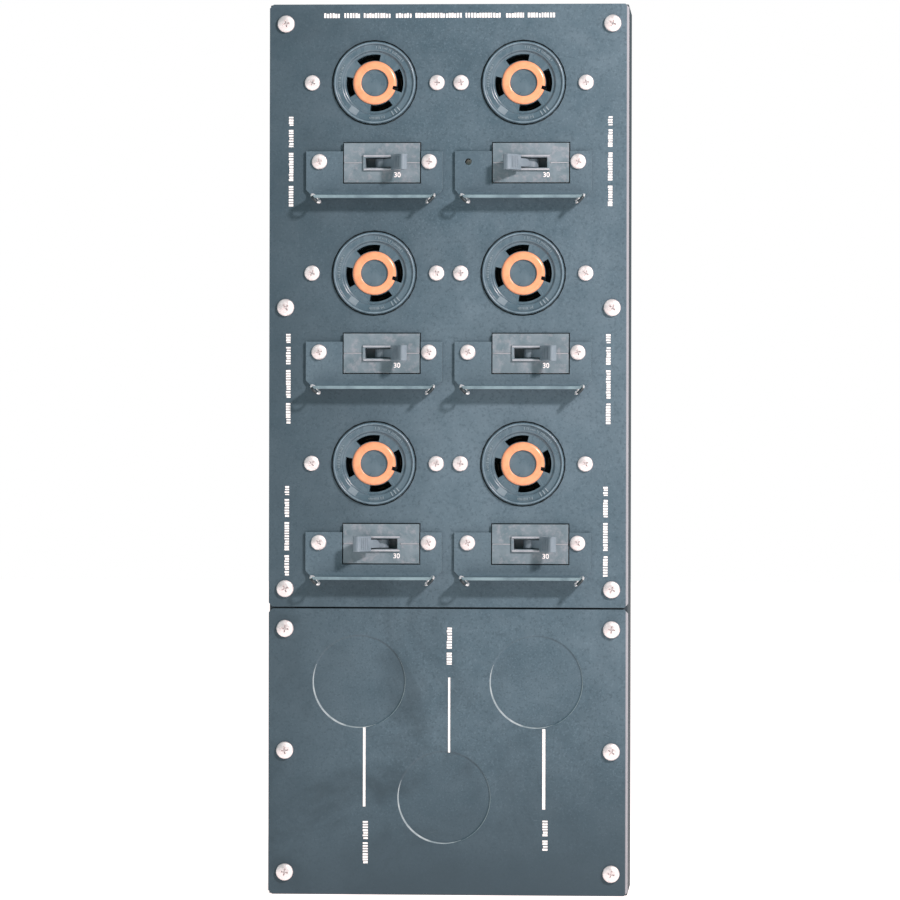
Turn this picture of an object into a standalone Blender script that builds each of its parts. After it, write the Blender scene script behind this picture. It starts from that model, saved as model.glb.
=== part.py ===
"""Power distribution panel: six locking receptacles with guarded breakers, above a conduit entry plate.

World frame, in metres: +Z is up, the front faces -Y, and y = 0 is the rear mounting plane, at mid-panel.
A device's own frame has x to the right, y up and z out of the panel, and z = 0 is the panel's front.
"""

import math

import bmesh
import bpy
from mathutils import Matrix, Vector

MM = 0.001
GAP = 0.3 * MM
CHASSIS_GAP = 1.0 * MM

# Panel sheets and the chassis behind them
PANEL_WIDTH = 240.0 * MM
PANEL_HEIGHT = 594.0 * MM
PANEL_SHEET = 2.0 * MM
PANEL_SPLIT = -105.7 * MM
PANEL_SPLIT_GAP = 1.2 * MM
PANEL_CORNER = 2.6 * MM
DEPTH = 88.0 * MM
CHASSIS_SHEET = 1.5 * MM
CHASSIS_BEND = 2.5 * MM
RAIL_FLANGE = 18.0 * MM
CROSS_LIP = 8.0 * MM
MIDDLE_CHANNEL = (14.0 * MM, 28.0 * MM)
TIE_BAR_HEIGHT = 30.0 * MM
TIE_BAR_CLEARANCE = 3.0 * MM
TIE_BAR_END_GAP = 4.0 * MM

# Screws that hold the panel sheets
PLATE_SCREW_X = 109.0 * MM
PLATE_SCREW_ROWS = (283.9 * MM, 94.6 * MM, -93.1 * MM, -119.7 * MM, -201.0 * MM, -282.3 * MM)
PLATE_SCREW_HEAD = 5.7 * MM
PLATE_SCREW_HEAD_HEIGHT = 3.3 * MM
PLATE_SCREW_EDGE_SHARE = 0.45
PLATE_SCREW_DOME_ANGLES = (0.0, 0.8, math.pi / 2.0)
PLATE_SCREW_SHANK = 2.75 * MM
PLATE_SCREW_LENGTH = 9.0 * MM
PLATE_HOLE = 3.3 * MM
CABINET_HOLE = 3.5 * MM
CABINET_HOLE_ROWS = (260.0 * MM, 45.0 * MM, -170.0 * MM, -260.0 * MM)

# The grid of receptacles and breakers
COLUMNS = (-49.7 * MM, 49.7 * MM)
ROWS = (244.6 * MM, 117.6 * MM, -9.4 * MM)
BREAKER_DROP = 52.8 * MM

# Four-wire locking receptacle
FACE_RADIUS = 28.0 * MM
FACE_HOLE = 28.6 * MM
FACE_PROUD = 1.9 * MM
RIM_RADIUS = 25.8 * MM
RIM_SLOPE = (0.5 * MM, 0.6 * MM)
BAND_LEVEL = 0.9 * MM
INSERT_RADIUS = 20.9 * MM
INSERT_LEVEL = -0.9 * MM
INSERT_WALL_SLOPE = 0.4 * MM
BODY_RADIUS = 27.0 * MM
BODY_DEPTH = 38.0 * MM
ORANGE_INNER = 9.0 * MM
ORANGE_OUTER = 14.5 * MM
ORANGE_LEVEL = 0.6 * MM
SLOT_INNER = 14.8 * MM
SLOT_OUTER = 19.1 * MM
SLOT_DEPTH = 16.0 * MM
SLOT_ARCS = ((78.0, 129.0), (167.0, 210.0), (260.0, 309.0), (-20.0, 30.0))
HOOK_REACH = 2.4 * MM
HOOK_ARC = 11.0
HOOK_LAP = 0.5 * MM
DEVICE_SCREW_X = 41.67 * MM
DEVICE_HOLE = 2.3 * MM
STRAP_SHEET = 1.6 * MM
STRAP_HEIGHT = 22.0 * MM
STRAP_EAR_END = 47.4 * MM

# Two-pole breaker, its handle and its guard bracket
BREAKER_OFFSET = Vector((5.1, -0.7, 0.0)) * MM
BREAKER_FACE = (50.8 * MM, 26.3 * MM)
BREAKER_PROUD = 2.7 * MM
BREAKER_DEPTH = 56.0 * MM
BREAKER_CUTOUT_MARGIN = 0.7 * MM
COLLAR = (25.2 * MM, 10.8 * MM, 1.1 * MM)
POCKET = (21.7 * MM, 6.8 * MM, 14.0 * MM)
PIVOT_DEPTH = 8.0 * MM
SEAM = 0.7 * MM
EAR_HEIGHT = 12.0 * MM
EAR_SHEET = 3.0 * MM
EAR_BEYOND = 5.4 * MM
LUG = (8.0 * MM, 9.0 * MM, 6.0 * MM)
LUG_SPREAD = (17.0 * MM, 6.6 * MM)
HANDLE_THROW = 35.0
HANDLE_BARREL = 5.0 * MM
HANDLE_STEM = (4.4 * MM, 5.8 * MM)
STEM_INSET = 0.1 * MM
HANDLE_PADDLE = (4.6 * MM, 10.2 * MM)
PADDLE_START = 13.8 * MM
PADDLE_END = 28.5 * MM
PADDLE_SWELL = 0.5 * MM
PADDLE_TIP = 1.2 * MM
TRUNNION = (1.6 * MM, 4.8 * MM)
TRUNNION_SOCKET = (1.95 * MM, 5.2 * MM)
HANDLES_TO_THE_RIGHT = (True, False, True, True, False, True)

BRACKET_HALF = 45.6 * MM
BRACKET_TOP = 7.0 * MM
BRACKET_BOTTOM = -24.6 * MM
BRACKET_SHEET = 2.0 * MM
BRACKET_BEND = 5.2 * MM
BRACKET_BEND_STEPS = 4
BRACKET_SCREW_X = 36.65 * MM
BRACKET_CORNER = -18.8 * MM
LIP_HALF = 41.5 * MM
LIP_REACH = 14.5 * MM
LIP_HOLE = (37.4 * MM, 11.0 * MM, 1.5 * MM)

# Conduit knock-outs in the lower sheet
KNOCKOUT_RADIUS = 31.2 * MM
KNOCKOUT_GROOVE = (0.6 * MM, 0.6 * MM)
KNOCKOUT_SLOPE = 0.4 * MM
KNOCKOUTS = ((-59.7 * MM, -155.7 * MM), (58.6 * MM, -155.7 * MM), (-3.0 * MM, -232.8 * MM))

# Wiring space: terminal plate, terminal block, ground bar and loom
TERMINAL_PLATE_Y = -30.0 * MM
TERMINAL_PLATE_SPAN = (-246.0 * MM, -164.0 * MM)
TERMINAL_FLANGE = 18.0 * MM
TERMINAL_BLOCK = (150.0 * MM, 40.0 * MM, 14.0 * MM)
TERMINAL_BLOCK_Z = -196.0 * MM
TERMINAL_BARRIERS = 6
BARRIER = (3.0 * MM, 12.0 * MM)
GROUND_BAR = (96.0 * MM, 10.0 * MM, 6.0 * MM)
GROUND_BAR_Z = -233.0 * MM
GROUND_FOOT = (9.0 * MM, 7.0 * MM)
GROUND_HOLES = 6
GROUND_HOLE = 1.9 * MM
TRUNK_Y = -40.0 * MM
TRUNK_RADIUS = 8.0 * MM
BRANCH_RADIUS = 3.4 * MM
LOOM_CLEARANCE = 1.5 * MM
TRUNK_BEYOND_ROW = 12.0 * MM
TRUNK_ABOVE_BLOCK = 2.0 * MM
# Branch paths: steps towards the device, off its back, and up from its centre
RECEPTACLE_ENTRY = (13.0 * MM, 18.0 * MM)
RECEPTACLE_BRANCH = (2.0 * MM, (14.0 * MM, 2.0 * MM, 14.0 * MM), (6.0 * MM, 12.0 * MM))
BREAKER_BRANCH = (
    26.0 * MM, (13.0 * MM, 12.0 * MM, 18.0 * MM), (14.0 * MM, 12.5 * MM, 2.0 * MM), (3.0 * MM, 8.5 * MM),
)

ROUND = 26
BARREL_ROUND = 16
SMALL_ROUND = 10
HOLE_ROUND = 8
SHARP_ANGLE = math.radians(35.0)

FACING = Matrix.Rotation(math.pi / 2.0, 4, "X")
OUTER = PANEL_WIDTH / 2.0 - GAP
HALF_HEIGHT = PANEL_HEIGHT / 2.0 - GAP
FLANGE_Y = -DEPTH + PANEL_SHEET + GAP

COLOURS = {
    "plate": ((0.105, 0.150, 0.180), 0.45, 0.0),
    "chassis": ((0.085, 0.120, 0.145), 0.50, 0.0),
    "bracket": ((0.110, 0.158, 0.190), 0.42, 0.0),
    "receptacle": ((0.130, 0.165, 0.195), 0.38, 0.0),
    "orange": ((0.900, 0.320, 0.120), 0.35, 0.0),
    "strap": ((0.620, 0.630, 0.640), 0.35, 1.0),
    "breaker": ((0.190, 0.240, 0.260), 0.45, 0.0),
    "handle": ((0.230, 0.280, 0.300), 0.40, 0.0),
    "screw": ((0.780, 0.780, 0.760), 0.25, 1.0),
    "terminal": ((0.020, 0.020, 0.022), 0.45, 0.0),
    "brass": ((0.780, 0.570, 0.250), 0.30, 1.0),
    "loom": ((0.030, 0.030, 0.032), 0.60, 0.0),
}


def clear_scene():
    for obj in list(bpy.data.objects):
        bpy.data.objects.remove(obj, do_unlink=True)


def new_collection(name):
    collection = bpy.data.collections.new(name)
    bpy.context.scene.collection.children.link(collection)
    return collection


def new_material(name):
    colour, roughness, metallic = COLOURS[name]
    material = bpy.data.materials.new(name)
    material.use_nodes = True
    shader = material.node_tree.nodes["Principled BSDF"]
    shader.inputs["Base Color"].default_value = (*colour, 1.0)
    shader.inputs["Roughness"].default_value = roughness
    shader.inputs["Metallic"].default_value = metallic
    material.diffuse_color = (*colour, 1.0)
    return material


clear_scene()
MODEL = new_collection("distribution_panel")
BENCH = new_collection("workbench")
MATERIALS = {name: new_material(name) for name in COLOURS}


# Meshes: each function returns a closed mesh, and the workbench holds nothing once it is done.


def on_bench(data):
    obj = bpy.data.objects.new("work", data)
    BENCH.objects.link(obj)
    return obj


def finished(obj):
    """The workbench object's mesh with its modifiers applied and its faces pointing out."""
    bpy.context.view_layer.update()
    graph = bpy.context.evaluated_depsgraph_get()
    mesh = bpy.data.meshes.new_from_object(obj.evaluated_get(graph))
    form = bmesh.new()
    form.from_mesh(mesh)
    bmesh.ops.remove_doubles(form, verts=form.verts, dist=0.001 * MM)
    bmesh.ops.recalc_face_normals(form, faces=form.faces)
    form.to_mesh(mesh)
    form.free()
    bpy.data.objects.remove(obj, do_unlink=True)
    return mesh


def moved(mesh, matrix):
    mesh.transform(matrix)
    return mesh


def gathered(meshes):
    """One mesh that holds all of the meshes, side by side."""
    form = bmesh.new()
    for mesh in meshes:
        form.from_mesh(mesh)
    mesh = bpy.data.meshes.new("gathered")
    form.to_mesh(mesh)
    form.free()
    return mesh


def combined(base, tools, operation):
    target = on_bench(base)
    for tool_mesh in tools:
        tool = on_bench(tool_mesh)
        modifier = target.modifiers.new(operation.title(), "BOOLEAN")
        modifier.operation = operation
        modifier.solver = "EXACT"
        modifier.object = tool
    mesh = finished(target)
    for tool in list(BENCH.objects):
        bpy.data.objects.remove(tool, do_unlink=True)
    return mesh


def cut(base, *tools):
    return combined(base, [gathered(tools)], "DIFFERENCE")


def joined(base, *tools):
    return combined(base, tools, "UNION")


def block(low, high):
    low, high = Vector(low), Vector(high)
    form = bmesh.new()
    bmesh.ops.create_cube(form, size=1.0)
    bmesh.ops.scale(form, vec=high - low, verts=form.verts)
    bmesh.ops.translate(form, vec=(low + high) / 2.0, verts=form.verts)
    mesh = bpy.data.meshes.new("block")
    form.to_mesh(mesh)
    form.free()
    return mesh


def rod(start, end, radius, sides=SMALL_ROUND):
    """A round bar whose axis runs from start to end."""
    start, end = Vector(start), Vector(end)
    axis = end - start
    form = bmesh.new()
    bmesh.ops.create_cone(
        form, cap_ends=True, segments=sides, radius1=radius, radius2=radius, depth=axis.length
    )
    turn = axis.to_track_quat("Z", "Y").to_matrix().to_4x4()
    bmesh.ops.transform(form, matrix=Matrix.Translation((start + end) / 2.0) @ turn, verts=form.verts)
    mesh = bpy.data.meshes.new("rod")
    form.to_mesh(mesh)
    form.free()
    return mesh


def turned(profile, steps=ROUND):
    """A solid of revolution about z, from (radius, z) points that run from its top to its bottom."""
    mesh = bpy.data.meshes.new("profile")
    points = [(radius, 0.0, height) for radius, height in profile]
    mesh.from_pydata(points, [(i, i + 1) for i in range(len(points) - 1)], [])
    obj = on_bench(mesh)
    screw = obj.modifiers.new("Turn", "SCREW")
    screw.steps = steps
    screw.render_steps = steps
    screw.use_merge_vertices = True
    screw.merge_threshold = 0.01 * MM
    return finished(obj)


def flat(loops, bottom, top):
    """A flat solid in the xy plane between two heights: an outline, then the outlines of its holes."""
    curve = bpy.data.curves.new("outline", "CURVE")
    curve.dimensions = "2D"
    curve.fill_mode = "BOTH"
    curve.extrude = (top - bottom) / 2.0
    for loop in loops:
        spline = curve.splines.new("POLY")
        spline.points.add(len(loop) - 1)
        for point, (x, y) in zip(spline.points, loop):
            point.co = (x, y, 0.0, 1.0)
        spline.use_cyclic_u = True
    mesh = finished(on_bench(curve))
    return moved(mesh, Matrix.Translation((0.0, 0.0, (top + bottom) / 2.0)))


def rounded(corners, radius, steps):
    """The path through the corners, with an arc in place of each inner corner."""
    path = [Vector(corners[0])]
    for before, corner, after in zip(corners, corners[1:], corners[2:]):
        corner = Vector(corner)
        back = (Vector(before) - corner).normalized()
        ahead = (Vector(after) - corner).normalized()
        half = back.angle(ahead) / 2.0
        centre = corner + (back + ahead).normalized() * radius / math.sin(half)
        start = (corner + back * radius / math.tan(half) - centre).normalized()
        end = (corner + ahead * radius / math.tan(half) - centre).normalized()
        path.extend(centre + start.slerp(end, step / steps) * radius for step in range(steps + 1))
    path.append(Vector(corners[-1]))
    return path


def folded(corners, sweep, thickness, radius, inside, steps=3):
    """A bent sheet: the corners lie on its outer side, and it thickens towards the point called inside."""
    form = bmesh.new()
    points = [form.verts.new(point) for point in rounded(corners, radius, steps)]
    edges = [form.edges.new(pair) for pair in zip(points, points[1:])]
    swept = bmesh.ops.extrude_edge_only(form, edges=edges)["geom"]
    far_side = [item for item in swept if isinstance(item, bmesh.types.BMVert)]
    bmesh.ops.translate(form, vec=sweep, verts=far_side)
    bmesh.ops.recalc_face_normals(form, faces=form.faces)
    form.faces.ensure_lookup_table()
    middle = form.faces[len(form.faces) // 2]
    towards_inside = middle.normal.dot(Vector(inside) - middle.calc_center_median()) > 0.0
    mesh = bpy.data.meshes.new("sheet")
    form.to_mesh(mesh)
    form.free()
    obj = on_bench(mesh)
    solidify = obj.modifiers.new("Thickness", "SOLIDIFY")
    solidify.thickness = thickness
    solidify.offset = 1.0 if towards_inside else -1.0
    solidify.use_even_offset = True
    return finished(obj)


def tube(points, radius, per_span=2):
    """A round wire along a smooth path through the points."""
    path = smooth_path([Vector(point) for point in points], per_span)
    curve = bpy.data.curves.new("wire", "CURVE")
    curve.dimensions = "3D"
    curve.bevel_depth = radius
    curve.bevel_resolution = 1
    curve.use_fill_caps = True
    spline = curve.splines.new("POLY")
    spline.points.add(len(path) - 1)
    for point, place in zip(spline.points, path):
        point.co = (*place, 1.0)
    return finished(on_bench(curve))


def smooth_path(points, per_span):
    """Catmull-Rom points: per_span steps between each two of the given points."""
    padded = [points[0] * 2.0 - points[1], *points, points[-1] * 2.0 - points[-2]]
    path = []
    for a, b, c, d in zip(padded, padded[1:], padded[2:], padded[3:]):
        for step in range(per_span):
            t = step / per_span
            path.append(
                0.5 * (2.0 * b + (c - a) * t + (2.0 * a - 5.0 * b + 4.0 * c - d) * t**2
                       + (3.0 * b - a - 3.0 * c + d) * t**3)
            )
    path.append(points[-1])
    return path


# Outlines in the xy plane


def clipped_rectangle(x0, y0, x1, y1, clip):
    """A rectangle between two corners with its own corners cut off at 45 degrees."""
    return [
        (x0 + clip, y0), (x1 - clip, y0), (x1, y0 + clip), (x1, y1 - clip),
        (x1 - clip, y1), (x0 + clip, y1), (x0, y1 - clip), (x0, y0 + clip),
    ]


def arc_band(inner, outer, start, end, steps=4):
    """A slot that follows a circle between two angles, in degrees."""
    angles = [math.radians(start + (end - start) * i / steps) for i in range(steps + 1)]
    far = [(outer * math.cos(a), outer * math.sin(a)) for a in angles]
    near = [(inner * math.cos(a), inner * math.sin(a)) for a in reversed(angles)]
    return far + near


# Objects


def add(name, mesh, kind, parent=None, location=(0.0, 0.0, 0.0), rotation=(0.0, 0.0, 0.0)):
    mesh.materials.clear()
    mesh.materials.append(MATERIALS[kind])
    mesh.shade_smooth()
    mesh.set_sharp_from_angle(angle=SHARP_ANGLE)
    obj = bpy.data.objects.new(name, mesh)
    MODEL.objects.link(obj)
    obj.parent = parent
    obj.location = location
    obj.rotation_euler = rotation
    return obj


def add_place(name, x, z):
    """An empty on the panel's front, turned so that its z points out of the panel."""
    place = bpy.data.objects.new(name, None)
    MODEL.objects.link(place)
    place.location = (x, -DEPTH, z)
    place.rotation_euler = FACING.to_euler()
    return place


def grid():
    """Each device's number from 1, and its column's x and row's z."""
    places = [(x, z) for z in ROWS for x in COLUMNS]
    return list(enumerate(places, start=1))


def panel_sheet(bottom, top, screw_rows, openings):
    """A panel sheet with clipped corners, its screw holes and its other openings, in the panel's plane."""
    half = PANEL_WIDTH / 2.0
    sheet = flat([clipped_rectangle(-half, bottom, half, top, PANEL_CORNER)], -PANEL_SHEET, 0.0)
    holes = [through(side * PLATE_SCREW_X, z, PLATE_HOLE) for side in (-1.0, 1.0) for z in screw_rows]
    return moved(cut(sheet, *holes, *openings), Matrix.Translation((0.0, -DEPTH, 0.0)) @ FACING)


def through(x, y, radius, sides=SMALL_ROUND):
    """A cutter for a round hole along z through a sheet that lies just behind z = 0."""
    return rod((x, y, -3.0 * PANEL_SHEET), (x, y, PANEL_SHEET), radius, sides)


def add_upper_plate():
    openings = []
    half_width, half_height = (side / 2.0 + BREAKER_CUTOUT_MARGIN for side in BREAKER_FACE)
    for _, (x, z) in grid():
        openings.append(through(x, z, FACE_HOLE, ROUND))
        breaker_z = z - BREAKER_DROP
        middle = (x + BREAKER_OFFSET.x, breaker_z + BREAKER_OFFSET.y)
        low = (middle[0] - half_width, middle[1] - half_height, -2.0 * PANEL_SHEET)
        openings.append(block(low, (middle[0] + half_width, middle[1] + half_height, PANEL_SHEET)))
        for side in (-1.0, 1.0):
            openings.append(through(x + side * DEVICE_SCREW_X, z, DEVICE_HOLE, HOLE_ROUND))
            openings.append(through(x + side * BRACKET_SCREW_X, breaker_z, DEVICE_HOLE, HOLE_ROUND))
    bottom = PANEL_SPLIT + PANEL_SPLIT_GAP / 2.0
    add("upper_plate", panel_sheet(bottom, PANEL_HEIGHT / 2.0, PLATE_SCREW_ROWS[:3], openings), "plate")


def add_lower_plate():
    width, depth = KNOCKOUT_GROOVE
    inner, rise = KNOCKOUT_RADIUS - width, KNOCKOUT_SLOPE * PANEL_SHEET / depth
    section = [
        (inner, -depth), (inner - KNOCKOUT_SLOPE - rise, PANEL_SHEET),
        (KNOCKOUT_RADIUS + KNOCKOUT_SLOPE + rise, PANEL_SHEET), (KNOCKOUT_RADIUS, -depth), (inner, -depth),
    ]
    grooves = [moved(turned(section), Matrix.Translation((x, z, 0.0))) for x, z in KNOCKOUTS]
    top = PANEL_SPLIT - PANEL_SPLIT_GAP / 2.0
    add("lower_plate", panel_sheet(-PANEL_HEIGHT / 2.0, top, PLATE_SCREW_ROWS[3:], grooves), "plate")


def chassis_channel(corners, sweep, inside=(0.0, -DEPTH / 2.0, 0.0)):
    return folded(corners, sweep, CHASSIS_SHEET, CHASSIS_BEND, inside)


def add_rails():
    for name, side in (("left_rail", -1.0), ("right_rail", 1.0)):
        corners = [
            (side * (OUTER - RAIL_FLANGE), FLANGE_Y, -HALF_HEIGHT),
            (side * OUTER, FLANGE_Y, -HALF_HEIGHT),
            (side * OUTER, 0.0, -HALF_HEIGHT),
            (side * (OUTER - RAIL_FLANGE), 0.0, -HALF_HEIGHT),
        ]
        mesh = chassis_channel(corners, (0.0, 0.0, 2.0 * HALF_HEIGHT))
        x, reach = side * PLATE_SCREW_X, 2.0 * CHASSIS_SHEET
        front = [
            rod((x, FLANGE_Y - MM, z), (x, FLANGE_Y + reach, z), PLATE_HOLE, HOLE_ROUND)
            for z in PLATE_SCREW_ROWS
        ]
        rear = [rod((x, -reach, z), (x, MM, z), CABINET_HOLE, HOLE_ROUND) for z in CABINET_HOLE_ROWS]
        add(name, cut(mesh, *front, *rear), "chassis")


def add_cross_members():
    half = OUTER - CHASSIS_SHEET - CHASSIS_GAP
    front = FLANGE_Y + CHASSIS_SHEET + GAP
    rear = -CHASSIS_SHEET - GAP
    sweep = (2.0 * half, 0.0, 0.0)
    for name, side in (("top_crossmember", 1.0), ("bottom_crossmember", -1.0)):
        edge, lip = side * HALF_HEIGHT, side * (HALF_HEIGHT - CROSS_LIP)
        corners = [(-half, front, lip), (-half, front, edge), (-half, rear, edge), (-half, rear, lip)]
        add(name, chassis_channel(corners, sweep), "chassis")
    height, depth = MIDDLE_CHANNEL
    top, bottom = PANEL_SPLIT + height / 2.0, PANEL_SPLIT - height / 2.0
    back = front + depth
    corners = [(-half, front, top), (-half, front, bottom), (-half, back, bottom), (-half, back, top)]
    mesh = chassis_channel(corners, sweep, inside=(0.0, front + depth / 2.0, top))
    add("middle_crossmember", mesh, "chassis")


def add_rear_tie_bar():
    """A bar between the rails' rear flanges, set back at its ends to lap inside them."""
    inner = OUTER - RAIL_FLANGE - GAP - TIE_BAR_CLEARANCE
    ends = OUTER - CHASSIS_SHEET - TIE_BAR_END_GAP
    step = CHASSIS_SHEET + GAP
    low = -TIE_BAR_HEIGHT / 2.0
    outline = [
        (-inner, 0.0), (inner, 0.0), (inner, -step), (ends, -step), (ends, -step - CHASSIS_SHEET),
        (inner - CHASSIS_SHEET, -step - CHASSIS_SHEET), (inner - CHASSIS_SHEET, -CHASSIS_SHEET),
        (CHASSIS_SHEET - inner, -CHASSIS_SHEET), (CHASSIS_SHEET - inner, -step - CHASSIS_SHEET),
        (-ends, -step - CHASSIS_SHEET), (-ends, -step), (-inner, -step),
    ]
    add("rear_tie_bar", flat([outline], low, -low), "chassis")


def plate_screw_mesh():
    edge = PLATE_SCREW_HEAD_HEIGHT * PLATE_SCREW_EDGE_SHARE
    rise = PLATE_SCREW_HEAD_HEIGHT - edge
    dome = [(PLATE_SCREW_HEAD * math.sin(a), edge + rise * math.cos(a)) for a in PLATE_SCREW_DOME_ANGLES]
    profile = dome + [
        (PLATE_SCREW_HEAD, GAP),
        (PLATE_SCREW_SHANK, GAP),
        (PLATE_SCREW_SHANK, GAP - PLATE_SCREW_LENGTH),
        (0.0, GAP - PLATE_SCREW_LENGTH),
    ]
    return turned(profile, SMALL_ROUND)


def add_plate_screws():
    mesh = plate_screw_mesh()
    for letter, side in (("left", -1.0), ("right", 1.0)):
        for number, z in enumerate(PLATE_SCREW_ROWS, start=1):
            place = (side * PLATE_SCREW_X, -DEPTH, z)
            add(f"plate_screw_{letter}_{number}", mesh, "screw", None, place, FACING.to_euler())


def receptacle_slots(level):
    """Cutters for the four curved contact slots, the last one with its hook towards the centre."""
    bottom, top = level - SLOT_DEPTH, ORANGE_LEVEL + MM
    slots = [flat([arc_band(SLOT_INNER, SLOT_OUTER, *arc)], bottom, top) for arc in SLOT_ARCS]
    hook_start = SLOT_ARCS[-1][0]
    hook = arc_band(SLOT_INNER - HOOK_REACH, SLOT_INNER + HOOK_LAP, hook_start, hook_start + HOOK_ARC, 2)
    slots[-1] = joined(slots[-1], flat([hook], bottom, top))
    return slots


def receptacle_body_mesh():
    rim_inner, rim_outer = RIM_SLOPE
    profile = [
        (0.0, INSERT_LEVEL),
        (INSERT_RADIUS, INSERT_LEVEL),
        (INSERT_RADIUS + INSERT_WALL_SLOPE, BAND_LEVEL),
        (RIM_RADIUS, BAND_LEVEL),
        (RIM_RADIUS + rim_inner, FACE_PROUD),
        (FACE_RADIUS - rim_outer, FACE_PROUD),
        (FACE_RADIUS, -PANEL_SHEET - GAP),
        (BODY_RADIUS, -PANEL_SHEET - GAP),
        (BODY_RADIUS, -BODY_DEPTH),
        (0.0, -BODY_DEPTH),
    ]
    return cut(turned(profile), *receptacle_slots(INSERT_LEVEL))


def orange_ring_mesh():
    bottom = INSERT_LEVEL + GAP
    profile = [
        (ORANGE_INNER, bottom), (ORANGE_INNER, ORANGE_LEVEL), (ORANGE_OUTER, ORANGE_LEVEL),
        (ORANGE_OUTER, bottom), (ORANGE_INNER, bottom),
    ]
    return cut(turned(profile), receptacle_slots(INSERT_LEVEL)[-1])


def strap_mesh():
    """The steel strap: an ear at each side behind the panel, and a saddle round the back of the body."""
    ear_front = -PANEL_SHEET - 2.0 * GAP
    ear_back = ear_front - STRAP_SHEET
    inner_leg = BODY_RADIUS + GAP
    leg = inner_leg + STRAP_SHEET
    inner_back = -BODY_DEPTH - GAP
    back = inner_back - STRAP_SHEET
    low = -STRAP_HEIGHT / 2.0
    half = [
        (inner_leg, inner_back), (inner_leg, ear_front), (STRAP_EAR_END, ear_front),
        (STRAP_EAR_END, ear_back), (leg, ear_back), (leg, back),
    ]
    outline = half + [(-x, z) for x, z in reversed(half)]
    mesh = flat([outline], low, -low)
    mesh = moved(mesh, Matrix.Rotation(math.pi / 2.0, 4, "X"))
    return cut(mesh, *screw_holes(DEVICE_SCREW_X, 0.0, ear_back - MM))


def screw_holes(x, start, end):
    """Cutters for the hole at each side of a device, between two heights."""
    return [
        rod((side * x, 0.0, start), (side * x, 0.0, end), DEVICE_HOLE, HOLE_ROUND) for side in (-1.0, 1.0)
    ]


def breaker_case_mesh():
    """In the bracket's frame: the case through the panel, the ears behind it and four lugs at the back."""
    width, height = BREAKER_FACE
    x, y = BREAKER_OFFSET.x, BREAKER_OFFSET.y
    left, right = x - width / 2, x + width / 2
    case = block((left, y - height / 2, -BREAKER_DEPTH), (right, y + height / 2, BREAKER_PROUD))
    ear_front = -PANEL_SHEET - GAP
    ear_end = BRACKET_SCREW_X + EAR_BEYOND
    ears = block((-ear_end, -EAR_HEIGHT / 2, ear_front - EAR_SHEET), (ear_end, EAR_HEIGHT / 2, ear_front))
    collar_w, collar_h, collar_d = COLLAR
    collar_top = BREAKER_PROUD + collar_d
    left, right = x - collar_w / 2, x + collar_w / 2
    collar = block((left, y - collar_h / 2, 0.0), (right, y + collar_h / 2, collar_top))
    lug_w, lug_h, lug_d = LUG
    lugs = []
    for side in (-1.0, 1.0):
        for pole in (-1.0, 1.0):
            lug_x, lug_y = x + side * LUG_SPREAD[0], y + pole * LUG_SPREAD[1]
            low = (lug_x - lug_w / 2, lug_y - lug_h / 2, -BREAKER_DEPTH - lug_d)
            lugs.append(block(low, (lug_x + lug_w / 2, lug_y + lug_h / 2, -BREAKER_DEPTH + MM)))
    body = joined(case, ears, collar, *lugs)

    pocket_w, pocket_h, pocket_d = POCKET
    left, right, floor = x - pocket_w / 2, x + pocket_w / 2, BREAKER_PROUD - pocket_d
    pocket = block((left, y - pocket_h / 2, floor), (right, y + pocket_h / 2, collar_top + MM))
    socket_radius, socket_reach = TRUNNION_SOCKET
    pivot_z = BREAKER_PROUD - PIVOT_DEPTH
    ends = [(x, y + side * socket_reach, pivot_z) for side in (-1.0, 1.0)]
    pocket = joined(pocket, rod(*ends, socket_radius, HOLE_ROUND))
    holes = screw_holes(BRACKET_SCREW_X, 0.0, ear_front - EAR_SHEET - MM)
    seams = []
    for side in (-1.0, 1.0):
        near, far = x + side * collar_w / 2, x + side * (width / 2 + MM)
        low = (min(near, far), y - SEAM / 2, BREAKER_PROUD - SEAM)
        seams.append(block(low, (max(near, far), y + SEAM / 2, BREAKER_PROUD + SEAM)))
    return cut(body, pocket, *holes, *seams)


def handle_mesh():
    """The handle at mid-throw, about its pivot: barrel, stem, paddle and the trunnions along y."""
    stem_w, stem_h = HANDLE_STEM
    paddle_w, paddle_h = (side / 2.0 for side in HANDLE_PADDLE)
    barrel = rod((0.0, -stem_h / 2, 0.0), (0.0, stem_h / 2, 0.0), HANDLE_BARREL, BARREL_ROUND)
    stem_half = stem_h / 2 - STEM_INSET
    stem = block((-stem_w / 2, -stem_half, 0.0), (stem_w / 2, stem_half, PADDLE_START + MM))
    outline = [
        (-paddle_w, PADDLE_START), (paddle_w, PADDLE_START),
        (paddle_w + PADDLE_SWELL, PADDLE_END - PADDLE_TIP), (paddle_w - PADDLE_TIP / 2, PADDLE_END),
        (PADDLE_TIP / 2 - paddle_w, PADDLE_END), (-paddle_w - PADDLE_SWELL, PADDLE_END - PADDLE_TIP),
    ]
    paddle = flat([outline], -paddle_h, paddle_h)
    paddle = moved(paddle, Matrix.Rotation(math.pi / 2.0, 4, "X"))
    pin_radius, pin_reach = TRUNNION
    pins = rod((0.0, -pin_reach, 0.0), (0.0, pin_reach, 0.0), pin_radius, HOLE_ROUND)
    return joined(barrel, stem, paddle, pins)


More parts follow.
